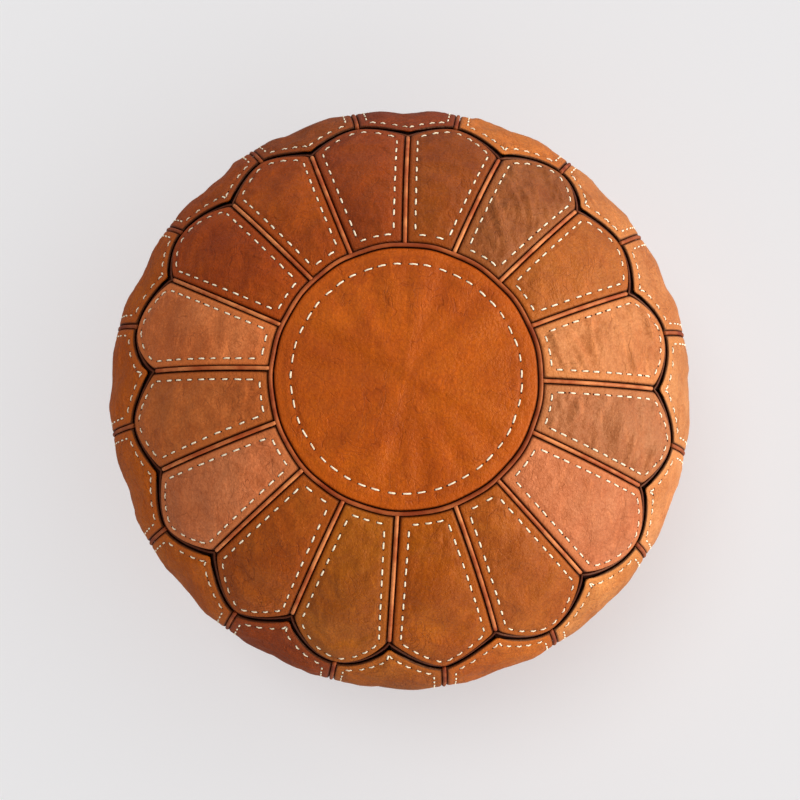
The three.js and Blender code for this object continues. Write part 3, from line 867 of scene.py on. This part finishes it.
# %% Petals: tint, slack, depth of the folds in mm, and the folds' turn from straight down the petal
PETAL_LOOKS = [
    ((143, 58, 4), 0.014, 0.25, 20),
    ((164, 72, 4), 0.014, 0.3, 60),
    ((162, 67, 4), 0.014, 0.3, 20),
    ((208, 118, 65), 0.014, 0.3, 0),
    ((183, 99, 46), 0.016, 0.9, 10),
    ((199, 116, 71), 0.014, 0.3, 20),
    ((162, 78, 14), 0.012, 0.25, 70),
    ((164, 89, 15), 0.014, 0.4, 15),
    ((167, 84, 4), 0.014, 0.3, 80),
    ((169, 87, 19), 0.014, 0.4, 50),
    # Painted sheen: petals 11 to 13 face the window, and their paler, pinker tints carry part of its sheen
    # besides the leather's own tone.
    ((196, 116, 74), 0.016, 0.7, 75),
    ((180, 112, 70), 0.026, 3.4, 84),
    ((200, 126, 74), 0.022, 2.6, 96),
    ((169, 91, 29), 0.012, 0.3, 40),
    ((151, 85, 40), 0.022, 2.3, 45),
    ((141, 65, 4), 0.014, 0.4, 60),
]
PANEL_INSET = 1.9 * MM
OVERLAP_INSET = 0.3 * MM
TUCKED_INSET = 3.7 * MM
NOTCH_GAP = 2.4 * MM
NOTCH_SPREAD = 0.035


def across_seat(middle, top_arc, bottom_arc, top_inset, bottom_inset):
    """Seats for a panel between two seams that run down the body and two that run round it."""

    def seat(across, down):
        aim = middle + across * STEP / 2
        top = top_arc(aim) + top_inset * slant_of(top_arc, aim)
        if top_arc is scallop_arc:
            top += NOTCH_GAP * np.exp(-(((aim - middle) / NOTCH_SPREAD) ** 2))
        bottom = bottom_arc(aim) - bottom_inset * slant_of(bottom_arc, aim)
        arc = top + (bottom - top) * down
        angle = middle + across * (STEP / 2 - PANEL_INSET / radius_at(arc))
        beside = (STEP / 2 - np.abs(angle - middle)) * radius_at(arc)
        above = (arc - top_arc(aim)) / slant_of(top_arc, aim) - top_inset + PANEL_INSET
        below = (bottom_arc(aim) - arc) / slant_of(bottom_arc, aim) - bottom_inset + PANEL_INSET
        return angle, arc, soft_least(beside, above, below)

    return seat


def sewn_panel(name, middle, seams, grid, insets, rows, look, puff, roll=ROLL_DEPTH):
    """A leather panel from its seams to its finished surface, and the stitches that it carries."""
    tint, slack, fold, turn = look
    panel = bent_grid(name, *grid, across_seat(middle, *seams, *insets), panel_leather)
    edge = read_value(panel, "edge")
    angle, arc = read_value(panel, "angle"), read_value(panel, "arc")
    swell = puff * smooth(edge, 2 * MM, 26 * MM)
    jog = np.array([noise.noise(Vector(p) * 160) for p in places(panel)]) * 0.35 * MM
    lifted = places(panel) + outward(angle, arc) * (swell + jog * smooth(edge, 6 * MM, 14 * MM))[:, None]
    move_to(panel, lifted)
    slacken(panel, 1 - smooth(edge, 8 * MM, 15 * MM), slack, 1.2)
    subdivide(panel)
    stitches = panel_stitches(middle, *seams, *rows)
    downhill = Vector((math.cos(middle), math.sin(middle), -0.4))
    sideways = Vector((-math.sin(middle), math.cos(middle), 0))
    turned = downhill * math.cos(math.radians(turn)) + sideways * math.sin(math.radians(turn))
    shape_leather(panel, stitches, (PANEL_INSET, roll), fold * MM, turned)
    write_tint(panel, rgb(*tint))
    return panel, stitches


def medallion_seam(angle):
    return MEDALLION_ARC + 0 * np.asarray(angle, float)


def base_seam(angle):
    return BASE_ARC + 0 * np.asarray(angle, float)


def finish_panel(panel, node):
    thicken(panel)
    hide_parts(node)
    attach(panel, "cover")


petal_threads = []
for index, look in enumerate(PETAL_LOOKS):
    node = f"petal_{index + 1:02d}"
    petal, stitches = sewn_panel(
        f"{node}_leather",
        FIRST_SEAM + (index + 0.5) * STEP,
        (medallion_seam, scallop_arc),
        (30, 36),
        (PANEL_INSET, OVERLAP_INSET),
        (ROW_INSET, ROW_INSET),
        look,
        1.6 * MM,
    )
    petal_threads.append(sew(petal, stitches))
    finish_panel(petal, node)
print("petals:", len(PETAL_LOOKS), "faces in the last:", len(petal.data.polygons))


# %% The petals' stitches
def thread_piece(threads, name):
    made = piece_from(joined(threads), name, [thread_cotton, hole_shade_paint])
    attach(made, "cover")
    return made


petal_stitching = thread_piece(petal_threads, "petal_stitching")
print("petal thread faces:", len(petal_stitching.data.polygons))

# %% [markdown]
# ## The side panels
# Their pointed tops come up into the notches between petals, and they run down to the base. Those on
# the side that faces the light have paler tints, partly their own tone and partly painted light from the
# window.

# %% Side panels: tint, slack, depth of the folds and their turn
SIDE_LOOKS = [
    ((134, 52, 6), 0.012, 0.4, 90),
    ((148, 68, 12), 0.014, 0.5, 60),
    ((164, 74, 8), 0.012, 0.4, 30),
    ((186, 92, 10), 0.014, 0.5, 0),
    ((194, 97, 14), 0.016, 0.5, 70),
    ((190, 94, 12), 0.012, 0.4, 90),
    ((188, 96, 12), 0.014, 0.4, 20),
    ((152, 64, 6), 0.016, 0.5, 80),
    ((170, 91, 12), 0.012, 0.4, 90),
    ((187, 98, 20), 0.014, 0.4, 60),
    # Painted light: sides 11 to 16 face the window, and their paler tints carry part of its light and sheen
    # besides the leather's own tone.
    ((208, 134, 70), 0.012, 0.4, 30),
    ((216, 144, 88), 0.012, 0.4, 0),
    ((206, 138, 84), 0.012, 0.3, 20),
    ((200, 127, 72), 0.014, 0.4, 60),
    ((197, 124, 66), 0.018, 0.6, 75),
    ((194, 110, 42), 0.018, 0.7, 60),
]
SIDE_TOP_ROW = 12 * MM
SIDE_ROLL_DEPTH = 1.6 * MM

side_threads = []
for index, look in enumerate(SIDE_LOOKS):
    node = f"side_panel_{index + 1:02d}"
    side, stitches = sewn_panel(
        f"{node}_leather",
        FIRST_SEAM + index * STEP,
        (scallop_arc, base_seam),
        (26, 66),
        (TUCKED_INSET, PANEL_INSET),
        (SIDE_TOP_ROW, ROW_INSET),
        look,
        1.2 * MM,
        SIDE_ROLL_DEPTH,
    )
    side_threads.append(sew(side, stitches))
    finish_panel(side, node)

side_stitching = thread_piece(side_threads, "side_stitching")
print("side panels:", len(SIDE_LOOKS), "faces in the last:", len(side.data.polygons))

# %% [markdown]
# ## The medallion
# A disc could be a fan of triangles, but its middle would pinch when it is simulated. A square grid
# pressed round into a disc has four-sided cells everywhere.

# %% The medallion
MEDALLION_CELLS = 56
MEDALLION_ROW = 16 * MM
MEDALLION_STITCHES = 47


def disc_seat(across, down):
    """A square grid pressed into a disc."""
    x, y = across, 1 - 2 * down
    wide = x * np.sqrt(1 - y * y / 2)
    high = y * np.sqrt(1 - x * x / 2)
    arc = np.hypot(wide, high) * (MEDALLION_ARC - PANEL_INSET)
    return np.arctan2(high, wide), arc, MEDALLION_ARC - arc


medallion = bent_grid("medallion_leather", MEDALLION_CELLS, MEDALLION_CELLS, disc_seat, panel_leather)
held = 1 - smooth(read_value(medallion, "edge"), 12 * MM, 24 * MM)
moved = slacken(medallion, held, 0.006, 0.25)
print("the medallion moved, mm:", round(moved / MM, 1))
subdivide(medallion)
round_trip = np.linspace(0, 2 * math.pi, 721)
row_arc = MEDALLION_ARC - MEDALLION_ROW + 0 * round_trip
row_pitch = 2 * math.pi * radius_at(row_arc[0]) / MEDALLION_STITCHES
medallion_stitches = stitches_along(round_trip, row_arc, row_pitch, 6.9 * MM)
edge_roll = (PANEL_INSET, ROLL_DEPTH)
shape_leather(medallion, medallion_stitches, edge_roll, 0.22 * MM, (0.25, 1, 0), 14 * MM)
write_tint(medallion, rgb(180, 83, 4))

medallion_stitching = thread_piece([sew(medallion, medallion_stitches)], "medallion_stitching")
finish_panel(medallion, "medallion")
print("medallion faces:", len(medallion.data.polygons))

# %% [markdown]
# ## The piping
# Piping is a round cord in a folded strip of leather, sewn into the seam. It could be a curve with a
# bevel. A grid bent into a tube is as short, and it follows the same wandering body as the panels do,
# so it stays in the middle of its seam.

# %% A tube along a seam
PIPING_SIDES = 12


def piping_mesh(angle, arc, radius, depth, closed=False):
    """A tube that follows the seats given by two equal lists."""
    bm = bmesh.new()
    steps = len(angle) - 1
    bmesh.ops.create_grid(bm, x_segments=steps, y_segments=PIPING_SIDES, size=1)
    co = on_body(angle, arc, depth)
    way = outward(angle, arc)
    if closed:
        along = np.roll(co[:-1], -1, 0) - np.roll(co[:-1], 1, 0)
        along = np.concatenate([along, along[:1]])
    else:
        along = np.gradient(co, axis=0)
    beside = np.cross(way, along)
    beside /= np.linalg.norm(beside, axis=1, keepdims=True)
    for vert in bm.verts:
        at = round((vert.co.x + 1) / 2 * steps)
        turn = (vert.co.y + 1) * math.pi
        swell = radius * (1 + 0.05 * noise.noise(Vector(co[at]) * 90))
        vert.co = co[at] + swell * (math.cos(turn) * beside[at] + math.sin(turn) * way[at])
    bmesh.ops.remove_doubles(bm, verts=bm.verts, dist=0.01 * MM)
    bmesh.ops.holes_fill(bm, edges=[e for e in bm.edges if e.is_boundary], sides=0)
    bmesh.ops.recalc_face_normals(bm, faces=bm.faces)
    tube = bpy.data.meshes.new("piping")
    bm.to_mesh(tube)
    bm.free()
    return tube


def piping_piece(name, tubes, material, node):
    made = piece_from(joined(tubes), name, [material])
    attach(made, "cover")
    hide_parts(node)
    return made


# %% Piping between the petals
PETAL_PIPING_RADIUS = 1.55 * MM
NOTCH_HOLE = 4.5 * MM

for index in range(PETALS):
    seam_angle = FIRST_SEAM + index * STEP
    seam_end = float(scallop_arc(np.array(seam_angle))) - NOTCH_HOLE
    arc = run_of(MEDALLION_ARC + 1.4 * MM, seam_end, 50)
    tube = piping_mesh(seam_angle + 0 * arc, arc, PETAL_PIPING_RADIUS, 0.5 * MM)
    node = f"petal_piping_{index + 1:02d}"
    piping_piece(f"{node}_leather", [tube], petal_piping_leather, node)

# %% Piping round the medallion and in the scalloped seam
WAVY_PIPING_DROP = 1.9 * MM
full_turn = FIRST_SEAM + np.linspace(0, 2 * math.pi, 24 * PETALS + 1)
ring = piping_mesh(full_turn, medallion_seam(full_turn), 1.6 * MM, 0.5 * MM, closed=True)
piping_piece("medallion_piping_leather", [ring], ring_piping_leather, "medallion_piping")
wavy_arc = scallop_arc(full_turn) + WAVY_PIPING_DROP * slant_of(scallop_arc, full_turn)
wavy = piping_mesh(full_turn, wavy_arc, 1.2 * MM, 3.3 * MM, closed=True)
piping_piece("scallop_piping_leather", [wavy], seam_piping_leather, "scallop_piping")

# %% Piping between the side panels and round the base
tubes = [piping_mesh(full_turn, base_seam(full_turn), CAD_PIPING, 0.3 * MM, closed=True)]
for index in range(PETALS):
    seam_angle = FIRST_SEAM + (index + 0.5) * STEP
    top = float(scallop_arc(np.array(seam_angle))) + WAVY_PIPING_DROP
    arc = run_of(top, BASE_ARC, 90)
    tubes.append(piping_mesh(seam_angle + 0 * arc, arc, 1.7 * MM, 1.2 * MM))
piping_piece("side_piping_leather", tubes, ring_piping_leather, "side_piping")
print("pipings made:", PETALS + 3)

# %% [markdown]
# ## Inside the seams
# Where two panels meet, their edges are turned in and lie against the bag. Only the flesh side of
# the leather shows there, painted near-black as painted shade deep in the seam. A band of it under each
# seam closes the view between the panels.


# %% The turned-in edges
def allowance_mesh(angle, arc, width, depth, closed):
    """A flat band that lies under a seam, across which it is width wide."""
    bm = bmesh.new()
    steps = len(angle) - 1
    bmesh.ops.create_grid(bm, x_segments=steps, y_segments=2, size=1)
    co = on_body(angle, arc, depth)
    way = outward(angle, arc)
    ends = np.concatenate([co[-2:-1], co, co[1:2]]) if closed else np.concatenate([co[:1], co, co[-1:]])
    beside = np.cross(way, ends[2:] - ends[:-2])
    beside /= np.linalg.norm(beside, axis=1, keepdims=True)
    for vert in bm.verts:
        at = round((vert.co.x + 1) / 2 * steps)
        vert.co = co[at] + beside[at] * vert.co.y * width / 2
    bmesh.ops.remove_doubles(bm, verts=bm.verts, dist=0.01 * MM)
    band = bpy.data.meshes.new("allowance")
    bm.to_mesh(band)
    bm.free()
    return band


ALLOWANCE_DEPTH = 4.4 * MM
ALLOWANCE_WIDTH = 20 * MM
bands = [allowance_mesh(full_turn, scallop_arc(full_turn) + 2 * MM, ALLOWANCE_WIDTH, ALLOWANCE_DEPTH, True)]
bands.append(allowance_mesh(full_turn, medallion_seam(full_turn), ALLOWANCE_WIDTH, ALLOWANCE_DEPTH, True))
for index in range(PETALS):
    seam_angle = FIRST_SEAM + index * STEP
    arc = run_of(MEDALLION_ARC, float(scallop_arc(np.array(seam_angle))), 30)
    bands.append(allowance_mesh(seam_angle + 0 * arc, arc, ALLOWANCE_WIDTH, ALLOWANCE_DEPTH, False))
    seam_angle += STEP / 2
    arc = run_of(float(scallop_arc(np.array(seam_angle))), BASE_ARC, 50)
    bands.append(allowance_mesh(seam_angle + 0 * arc, arc, ALLOWANCE_WIDTH, ALLOWANCE_DEPTH, False))
# Painted shade: the real turned-in edges are painted near-black for the shade deep in the seams.
allowances = piece_from(joined(bands), "seam_allowances", [flesh_in_painted_shade])
wall = allowances.modifiers.new("thickness", "SOLIDIFY")
wall.thickness = 0.9 * MM
settle(allowances)
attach(allowances, "cover")
print("seam allowance faces:", len(allowances.data.polygons))

# %% [markdown]
# ## The base
# Two half discs of leather with a zip between them. The middle is drawn up a little, so that the zip's
# slider clears the floor. Each half is a grid whose straight side lies along the zip and whose curved
# side lies along the seam round the base.

# %% Sizes of the base, from the frame
ZIP_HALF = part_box("zip_tape_back")[1].x - 5 * MM
RECESS_DEPTH = 8 * MM
RECESS_FLOOR_HALF = 8 * MM
RECESS_HALF = 35 * MM
SLOT_HALF = 6 * MM
MIDDLE_GAP = 0.4 * MM


def recess(x, y):
    """How far the base is drawn up towards the zip."""
    end = ZIP_HALF + 10 * MM
    across = 1 - smooth(np.abs(y), RECESS_FLOOR_HALF, RECESS_HALF)
    return RECESS_DEPTH * across * (1 - smooth(np.abs(x), end, end + 25 * MM))


def base_height(x, y):
    return np.interp(ARCS[-1] - np.hypot(x, y), ARCS, HEIGHTS) + recess(x, y)


def slot_half(x):
    return SLOT_HALF + (MIDDLE_GAP - SLOT_HALF) * smooth(np.abs(x), ZIP_HALF, ZIP_HALF + 10 * MM)


# %% A half of the base
BASE_COLUMNS = 90
BASE_ROWS = 46
base_rim = BASE_SEAM_RADIUS - PANEL_INSET


def base_place(across, down):
    """Where a share across and a share down a base half lie: the slot first, the rim last."""
    start = across * base_rim
    lean = np.pi / 2 - np.arcsin(np.clip(across, -1, 1) * 0.999)
    x = start * (1 - down) + base_rim * np.cos(lean) * down
    y = slot_half(start) * (1 - down) + base_rim * np.sin(lean) * down
    return x, y


def base_half(name, node, turned):
    bm = bmesh.new()
    bmesh.ops.create_grid(bm, x_segments=BASE_COLUMNS, y_segments=BASE_ROWS, size=1)
    share = np.array([v.co.x for v in bm.verts])
    down = (1 - np.array([v.co.y for v in bm.verts])) / 2
    across = np.sin(share * math.pi / 2)
    x, y = base_place(across, down)
    rim_gap = BASE_SEAM_RADIUS - np.hypot(x, y)
    slot_gap = y - slot_half(x) + PANEL_INSET
    edge = soft_least(np.maximum(rim_gap, 0), np.maximum(slot_gap, 0))
    over = 1 - np.clip((edge - PANEL_INSET) / ROLL_WIDTH, 0, 1)
    rows = [np.abs(rim_gap - ROW_INSET), np.abs(slot_gap - ROW_INSET)]
    press = np.exp(-((np.minimum(*rows) / (2.6 * MM)) ** 2)) * 1.5 * MM
    ripple = np.array([noise.noise(Vector((a, b, 0)) * 60) for a, b in zip(x, y)])
    ripple *= 0.5 * MM * smooth(edge, 4 * MM, 20 * MM)
    lift = ROLL_DEPTH * 0.6 * (1 - np.sqrt(1 - over**2)) + press + np.maximum(ripple, 0)
    z = np.maximum(base_height(x, y), 0.3 * MM) + lift
    for vert, co in zip(bm.verts, np.stack([x * turned, y * turned, z], 1)):
        vert.co = co
    half = piece_from(bm, name, [panel_leather])
    write_value(half, "edge", edge)
    write_tint(half, rgb(150, 80, 38))
    half.data.update()
    return half


# %% Both halves, with their stitches
def base_stitches(tree, turned):
    """Rows along the zip and inside the rim, on the underside."""
    bm = bmesh.new()
    inner_row = slot_half(0) - PANEL_INSET + ROW_INSET
    reach = np.sqrt((base_rim - ROW_INSET) ** 2 - inner_row**2)
    line = np.stack([np.linspace(-reach, reach, 200), np.full(200, inner_row)], 1)
    turn = np.linspace(math.asin(inner_row / (base_rim - ROW_INSET)), math.pi / 2, 100)
    turn = np.concatenate([turn, math.pi - turn[::-1][1:]])
    arch = (BASE_SEAM_RADIUS - ROW_INSET) * np.stack([np.cos(turn), np.sin(turn)], 1)
    down = Vector((0, 0, -1))
    for row in (line, arch):
        gone = np.concatenate([[0], np.cumsum(np.linalg.norm(np.diff(row, axis=0), axis=1))])
        for middle in np.arange(STITCH_PITCH / 2, gone[-1], STITCH_PITCH):
            ends = []
            for at in (middle - STITCH / 2, middle + STITCH / 2):
                x, y = (float(np.interp(at, gone, row[:, n])) * turned for n in (0, 1))
                hit = tree.ray_cast(Vector((x, y, -50 * MM)), -down, 100 * MM)[0]
                ends.append(hit if hit is not None else Vector((x, y, 0)))
            along = (ends[1] - ends[0]).normalized()
            add_thread(bm, ends[0], ends[1], down, 0.3 * MM)
            paint_hole_shade(bm, ends[0] - along * 0.3 * MM, down, along)
            paint_hole_shade(bm, ends[1] + along * 0.3 * MM, down, along)
    sewn = bpy.data.meshes.new("threads")
    bm.to_mesh(sewn)
    bm.free()
    return sewn


base_threads = []
for node, turned in (("base_half_back", 1), ("base_half_front", -1)):
    half = base_half(f"{node}_leather", node, turned)
    base_threads.append(base_stitches(surface_of(half), turned))
    finish_panel(half, node)
base_stitching = thread_piece(base_threads, "base_stitching")
lowest = min(v.co.z for v in base_stitching.data.vertices)
print("base half faces:", len(half.data.polygons), "lowest stitch, mm:", round(lowest / MM, 2))

# %% [markdown]
# ## The zip
# A tape is a strip of woven cotton with a beaded edge, and brass teeth are clenched over the bead. Each
# tooth is one small bevelled block, repeated. The slider and its pull have the right shape in the frame
# already, so they are copied, merged and given rounded edges.


# %% Tapes with teeth
def tape_piece(name, node, turned):
    low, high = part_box(node)
    near, far = sorted((abs(low.y), abs(high.y)))
    tape_low, tape_high = high.z - 0.8 * MM, high.z
    bm = bmesh.new()
    bmesh.ops.create_cube(bm, size=1)
    bead = near + 2.6 * MM
    size = (high.x - low.x, far - bead, tape_high - tape_low)
    bmesh.ops.scale(bm, vec=size, verts=bm.verts)
    bmesh.ops.translate(bm, vec=(0, (far + bead) / 2, (tape_low + tape_high) / 2), verts=bm.verts)
    lengthwise = [e for e in bm.edges if abs((e.verts[0].co - e.verts[1].co).x) > 10 * MM]
    bmesh.ops.subdivide_edges(bm, edges=lengthwise, cuts=60)
    for vert in bm.verts:
        vert.co.z += 0.12 * MM * noise.noise(vert.co * 90)
    cord = bmesh.ops.create_cone(
        bm, cap_ends=True, segments=10, radius1=0.9 * MM, radius2=0.9 * MM, depth=high.x - low.x
    )
    lay = Matrix.Translation((0, bead, (tape_low + tape_high) / 2)) @ Matrix.Rotation(math.pi / 2, 4, "Y")
    bmesh.ops.transform(bm, matrix=lay, verts=cord["verts"])
    brass_from = len(bm.faces)
    pitch = TOOTH_PITCH
    for at in np.arange(-ZIP_HALF, ZIP_HALF - pitch / 2, pitch):
        tooth = bmesh.ops.create_cube(bm, size=1)
        long = bead + 0.5 * MM - near
        bmesh.ops.scale(bm, vec=(pitch * 0.44, long, 1.9 * MM), verts=tooth["verts"])
        middle = (at + pitch / 4, near + long / 2, tape_high - 1.15 * MM)
        bmesh.ops.translate(bm, vec=middle, verts=tooth["verts"])
        tip = [e for v in tooth["verts"] for e in v.link_edges]
        bmesh.ops.bevel(
            bm,
            geom=list(set(tip)),
            offset=0.3 * MM,
            offset_type="OFFSET",
            segments=2,
            profile=0.5,
            affect="EDGES",
            material=-1,
        )
    bm.faces.ensure_lookup_table()
    for face in bm.faces[brass_from:]:
        face.material_index = 1
    if turned < 0:
        bmesh.ops.rotate(bm, matrix=Matrix.Rotation(math.pi, 3, "Z"), verts=bm.verts)
    made = piece_from(bm, name, [tape_weave, aged_brass])
    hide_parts(node)
    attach(made, "cover")
    return made


TOOTH_PITCH = 5.5 * MM
for node, turned in (("zip_tape_back", 1), ("zip_tape_front", -1)):
    tape = tape_piece(f"{node}_woven", node, turned)
print("tape faces:", len(tape.data.polygons))


# %% Slider and pull
def rounded_copy(node, name, body, width):
    """A copy of a frame node with its edges rounded."""
    source = bpy.data.objects[node]
    bm = bmesh.new()
    bm.from_mesh(source.data)
    bmesh.ops.transform(bm, matrix=source.matrix_world, verts=bm.verts)
    bmesh.ops.remove_doubles(bm, verts=bm.verts, dist=0.01 * MM)
    flat = math.radians(3)
    bmesh.ops.dissolve_limit(bm, angle_limit=flat, verts=bm.verts, edges=bm.edges)
    sharp = [e for e in bm.edges if e.is_manifold and e.calc_face_angle(0) > math.radians(40)]
    bmesh.ops.bevel(
        bm,
        geom=sharp,
        offset=width,
        offset_type="OFFSET",
        segments=2,
        profile=0.5,
        affect="EDGES",
        clamp_overlap=True,
        material=-1,
    )
    bmesh.ops.recalc_face_normals(bm, faces=bm.faces)
    made = piece_from(bm, name, [aged_brass])
    weighted = made.modifiers.new("even shading", "WEIGHTED_NORMAL")
    weighted.keep_sharp = False
    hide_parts(node)
    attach(made, body)
    return made


slider = rounded_copy("zip_slider", "zip_slider_brass", "zip_slider", 0.25 * MM)
pull = rounded_copy("zip_pull", "zip_pull_brass", "zip_pull", 0.3 * MM)
print("slider and pull faces:", len(slider.data.polygons), len(pull.data.polygons))

# %% [markdown]
# ## The bag and its stuffing
# The cover comes off by the zip, so the stuffing sits in a cotton bag of its own. Both are the body's own
# shape, a little smaller, with a groove along the underside that leaves the zip its room.


# %% A ball bent to the body's shape
def inner_body(name, node, depth, slack, material):
    bm = bmesh.new()
    bmesh.ops.create_uvsphere(bm, u_segments=6 * PETALS, v_segments=70, radius=1)
    co = np.array([v.co[:] for v in bm.verts])
    angle = np.arctan2(co[:, 1], co[:, 0])
    arc = np.arccos(np.clip(co[:, 2], -1, 1)) / math.pi * ARCS[-1]
    gathers = 0.5 + 0.5 * np.cos(40 * angle) * smooth(arc, ARCS[-1] * 0.75, ARCS[-1] * 0.9)
    rumple = np.array([noise.noise(Vector(c) * 9) for c in co])
    body = on_body(angle, arc, depth + slack * (0.5 + 0.5 * rumple) + 0.4 * MM * gathers)
    x, y = body[:, 0], body[:, 1]
    groove = 1 - smooth(np.abs(y), 17 * MM, 36 * MM)
    groove *= 1 - smooth(np.abs(x), ZIP_HALF + 12 * MM, ZIP_HALF + 40 * MM)
    floor = depth + GROOVE_HEIGHT * groove
    body[:, 2] = np.where(body[:, 2] < WIDEST_HEIGHT / 2, np.maximum(body[:, 2], floor), body[:, 2])
    for vert, at in zip(bm.verts, body):
        vert.co = at
    made = piece_from(bm, name, [material])
    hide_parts(node)
    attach(made, "cover")
    return made


GROOVE_HEIGHT = 11 * MM
bag_depth = (BODY_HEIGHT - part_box("inner_bag")[1].z) + 0.3 * MM
filling_depth = (BODY_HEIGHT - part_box("stuffing")[1].z) + 0.6 * MM
bag = inner_body("cotton_bag", "inner_bag", bag_depth, 0.6 * MM, bag_cotton)
thicken(bag, 0.5 * MM)
filling = inner_body("wadding_filling", "stuffing", filling_depth + 0.6 * MM, 1.2 * MM, wadding_fluff)
print("bag depth, mm:", round(bag_depth / MM, 1), "stuffing depth:", round(filling_depth / MM, 1))

# %% [markdown]
# ## The room and the light
# A plain pale floor and a room that is brighter low down than overhead, which keeps the top's colour deep
# and gives the sides their pale sheen. A wide window on the right lights the pouf and spares the floor. A
# weak lamp above casts the floor's soft shadow.

# %% Floor and room
floor_mesh = bmesh.new()
bmesh.ops.create_grid(floor_mesh, x_segments=1, y_segments=1, size=6)
floor_paint = Shader("floor_paint", Specular_IOR_Level=0.1, Emission_Strength=0.36)
floor_white = (0.6, 0.595, 0.598, 1)
floor_glow = (1, 0.99, 0.995, 1)
floor = piece_from(floor_mesh, "floor", [floor_paint.finish(Base_Color=floor_white, Emission_Color=floor_glow)])
floor.visible_glossy = False

world = bpy.data.worlds.new("room")
world.use_nodes = True
room = world.node_tree
direction = room.nodes.new("ShaderNodeTexCoord")
split = room.nodes.new("ShaderNodeSeparateXYZ")
height = room.nodes.new("ShaderNodeMapRange")
aside = room.nodes.new("ShaderNodeMapRange")
below = room.nodes.new("ShaderNodeMapRange")
dimmed = room.nodes.new("ShaderNodeMath")
dimmed.operation = "MULTIPLY"
both = room.nodes.new("ShaderNodeMath")
both.operation = "MULTIPLY"
height.inputs["To Min"].default_value = 1.05
height.inputs["To Max"].default_value = 0.1
below.inputs["From Min"].default_value = -0.35
below.inputs["From Max"].default_value = 0.05
below.inputs["To Min"].default_value = 0.12
aside.inputs["From Min"].default_value = -1
aside.inputs["To Min"].default_value = 0.4
aside.inputs["To Max"].default_value = 2.4
room.links.new(direction.outputs["Generated"], split.inputs[0])
room.links.new(split.outputs["Z"], height.inputs["Value"])
room.links.new(split.outputs["X"], aside.inputs["Value"])
room.links.new(split.outputs["Z"], below.inputs["Value"])
room.links.new(height.outputs[0], dimmed.inputs[0])
room.links.new(below.outputs[0], dimmed.inputs[1])
room.links.new(dimmed.outputs[0], both.inputs[0])
room.links.new(aside.outputs[0], both.inputs[1])
room.links.new(both.outputs[0], room.nodes["Background"].inputs["Strength"])
room.nodes["Background"].inputs["Color"].default_value = (0.98, 0.985, 1, 1)
bpy.context.scene.world = world


# %% Lamps
def sun(name, towards, strength, spread, colour):
    lamp = bpy.data.lights.new(name, "SUN")
    lamp.energy = strength
    lamp.angle = math.radians(spread)
    lamp.color = colour
    made = bpy.data.objects.new(name, lamp)
    bpy.context.scene.collection.objects.link(made)
    made.matrix_world = Vector(towards).to_track_quat("Z", "Y").to_matrix().to_4x4()
    return made


key = sun("window", (1.0, 0.0, 0.62), 2.4, 36, (1, 0.985, 0.96))
lamp_above = sun("lamp_above", (-0.35, 0.3, 1.0), 0.7, 30, (1, 1, 1))

spared = bpy.data.collections.new("not lit by the window")
spared.objects.link(floor)
key.light_linking.receiver_collection = spared
spared.collection_objects[0].light_linking.link_state = "EXCLUDE"
bpy.context.scene.view_settings.view_transform = "Standard"
bpy.context.scene.view_settings.look = "None"
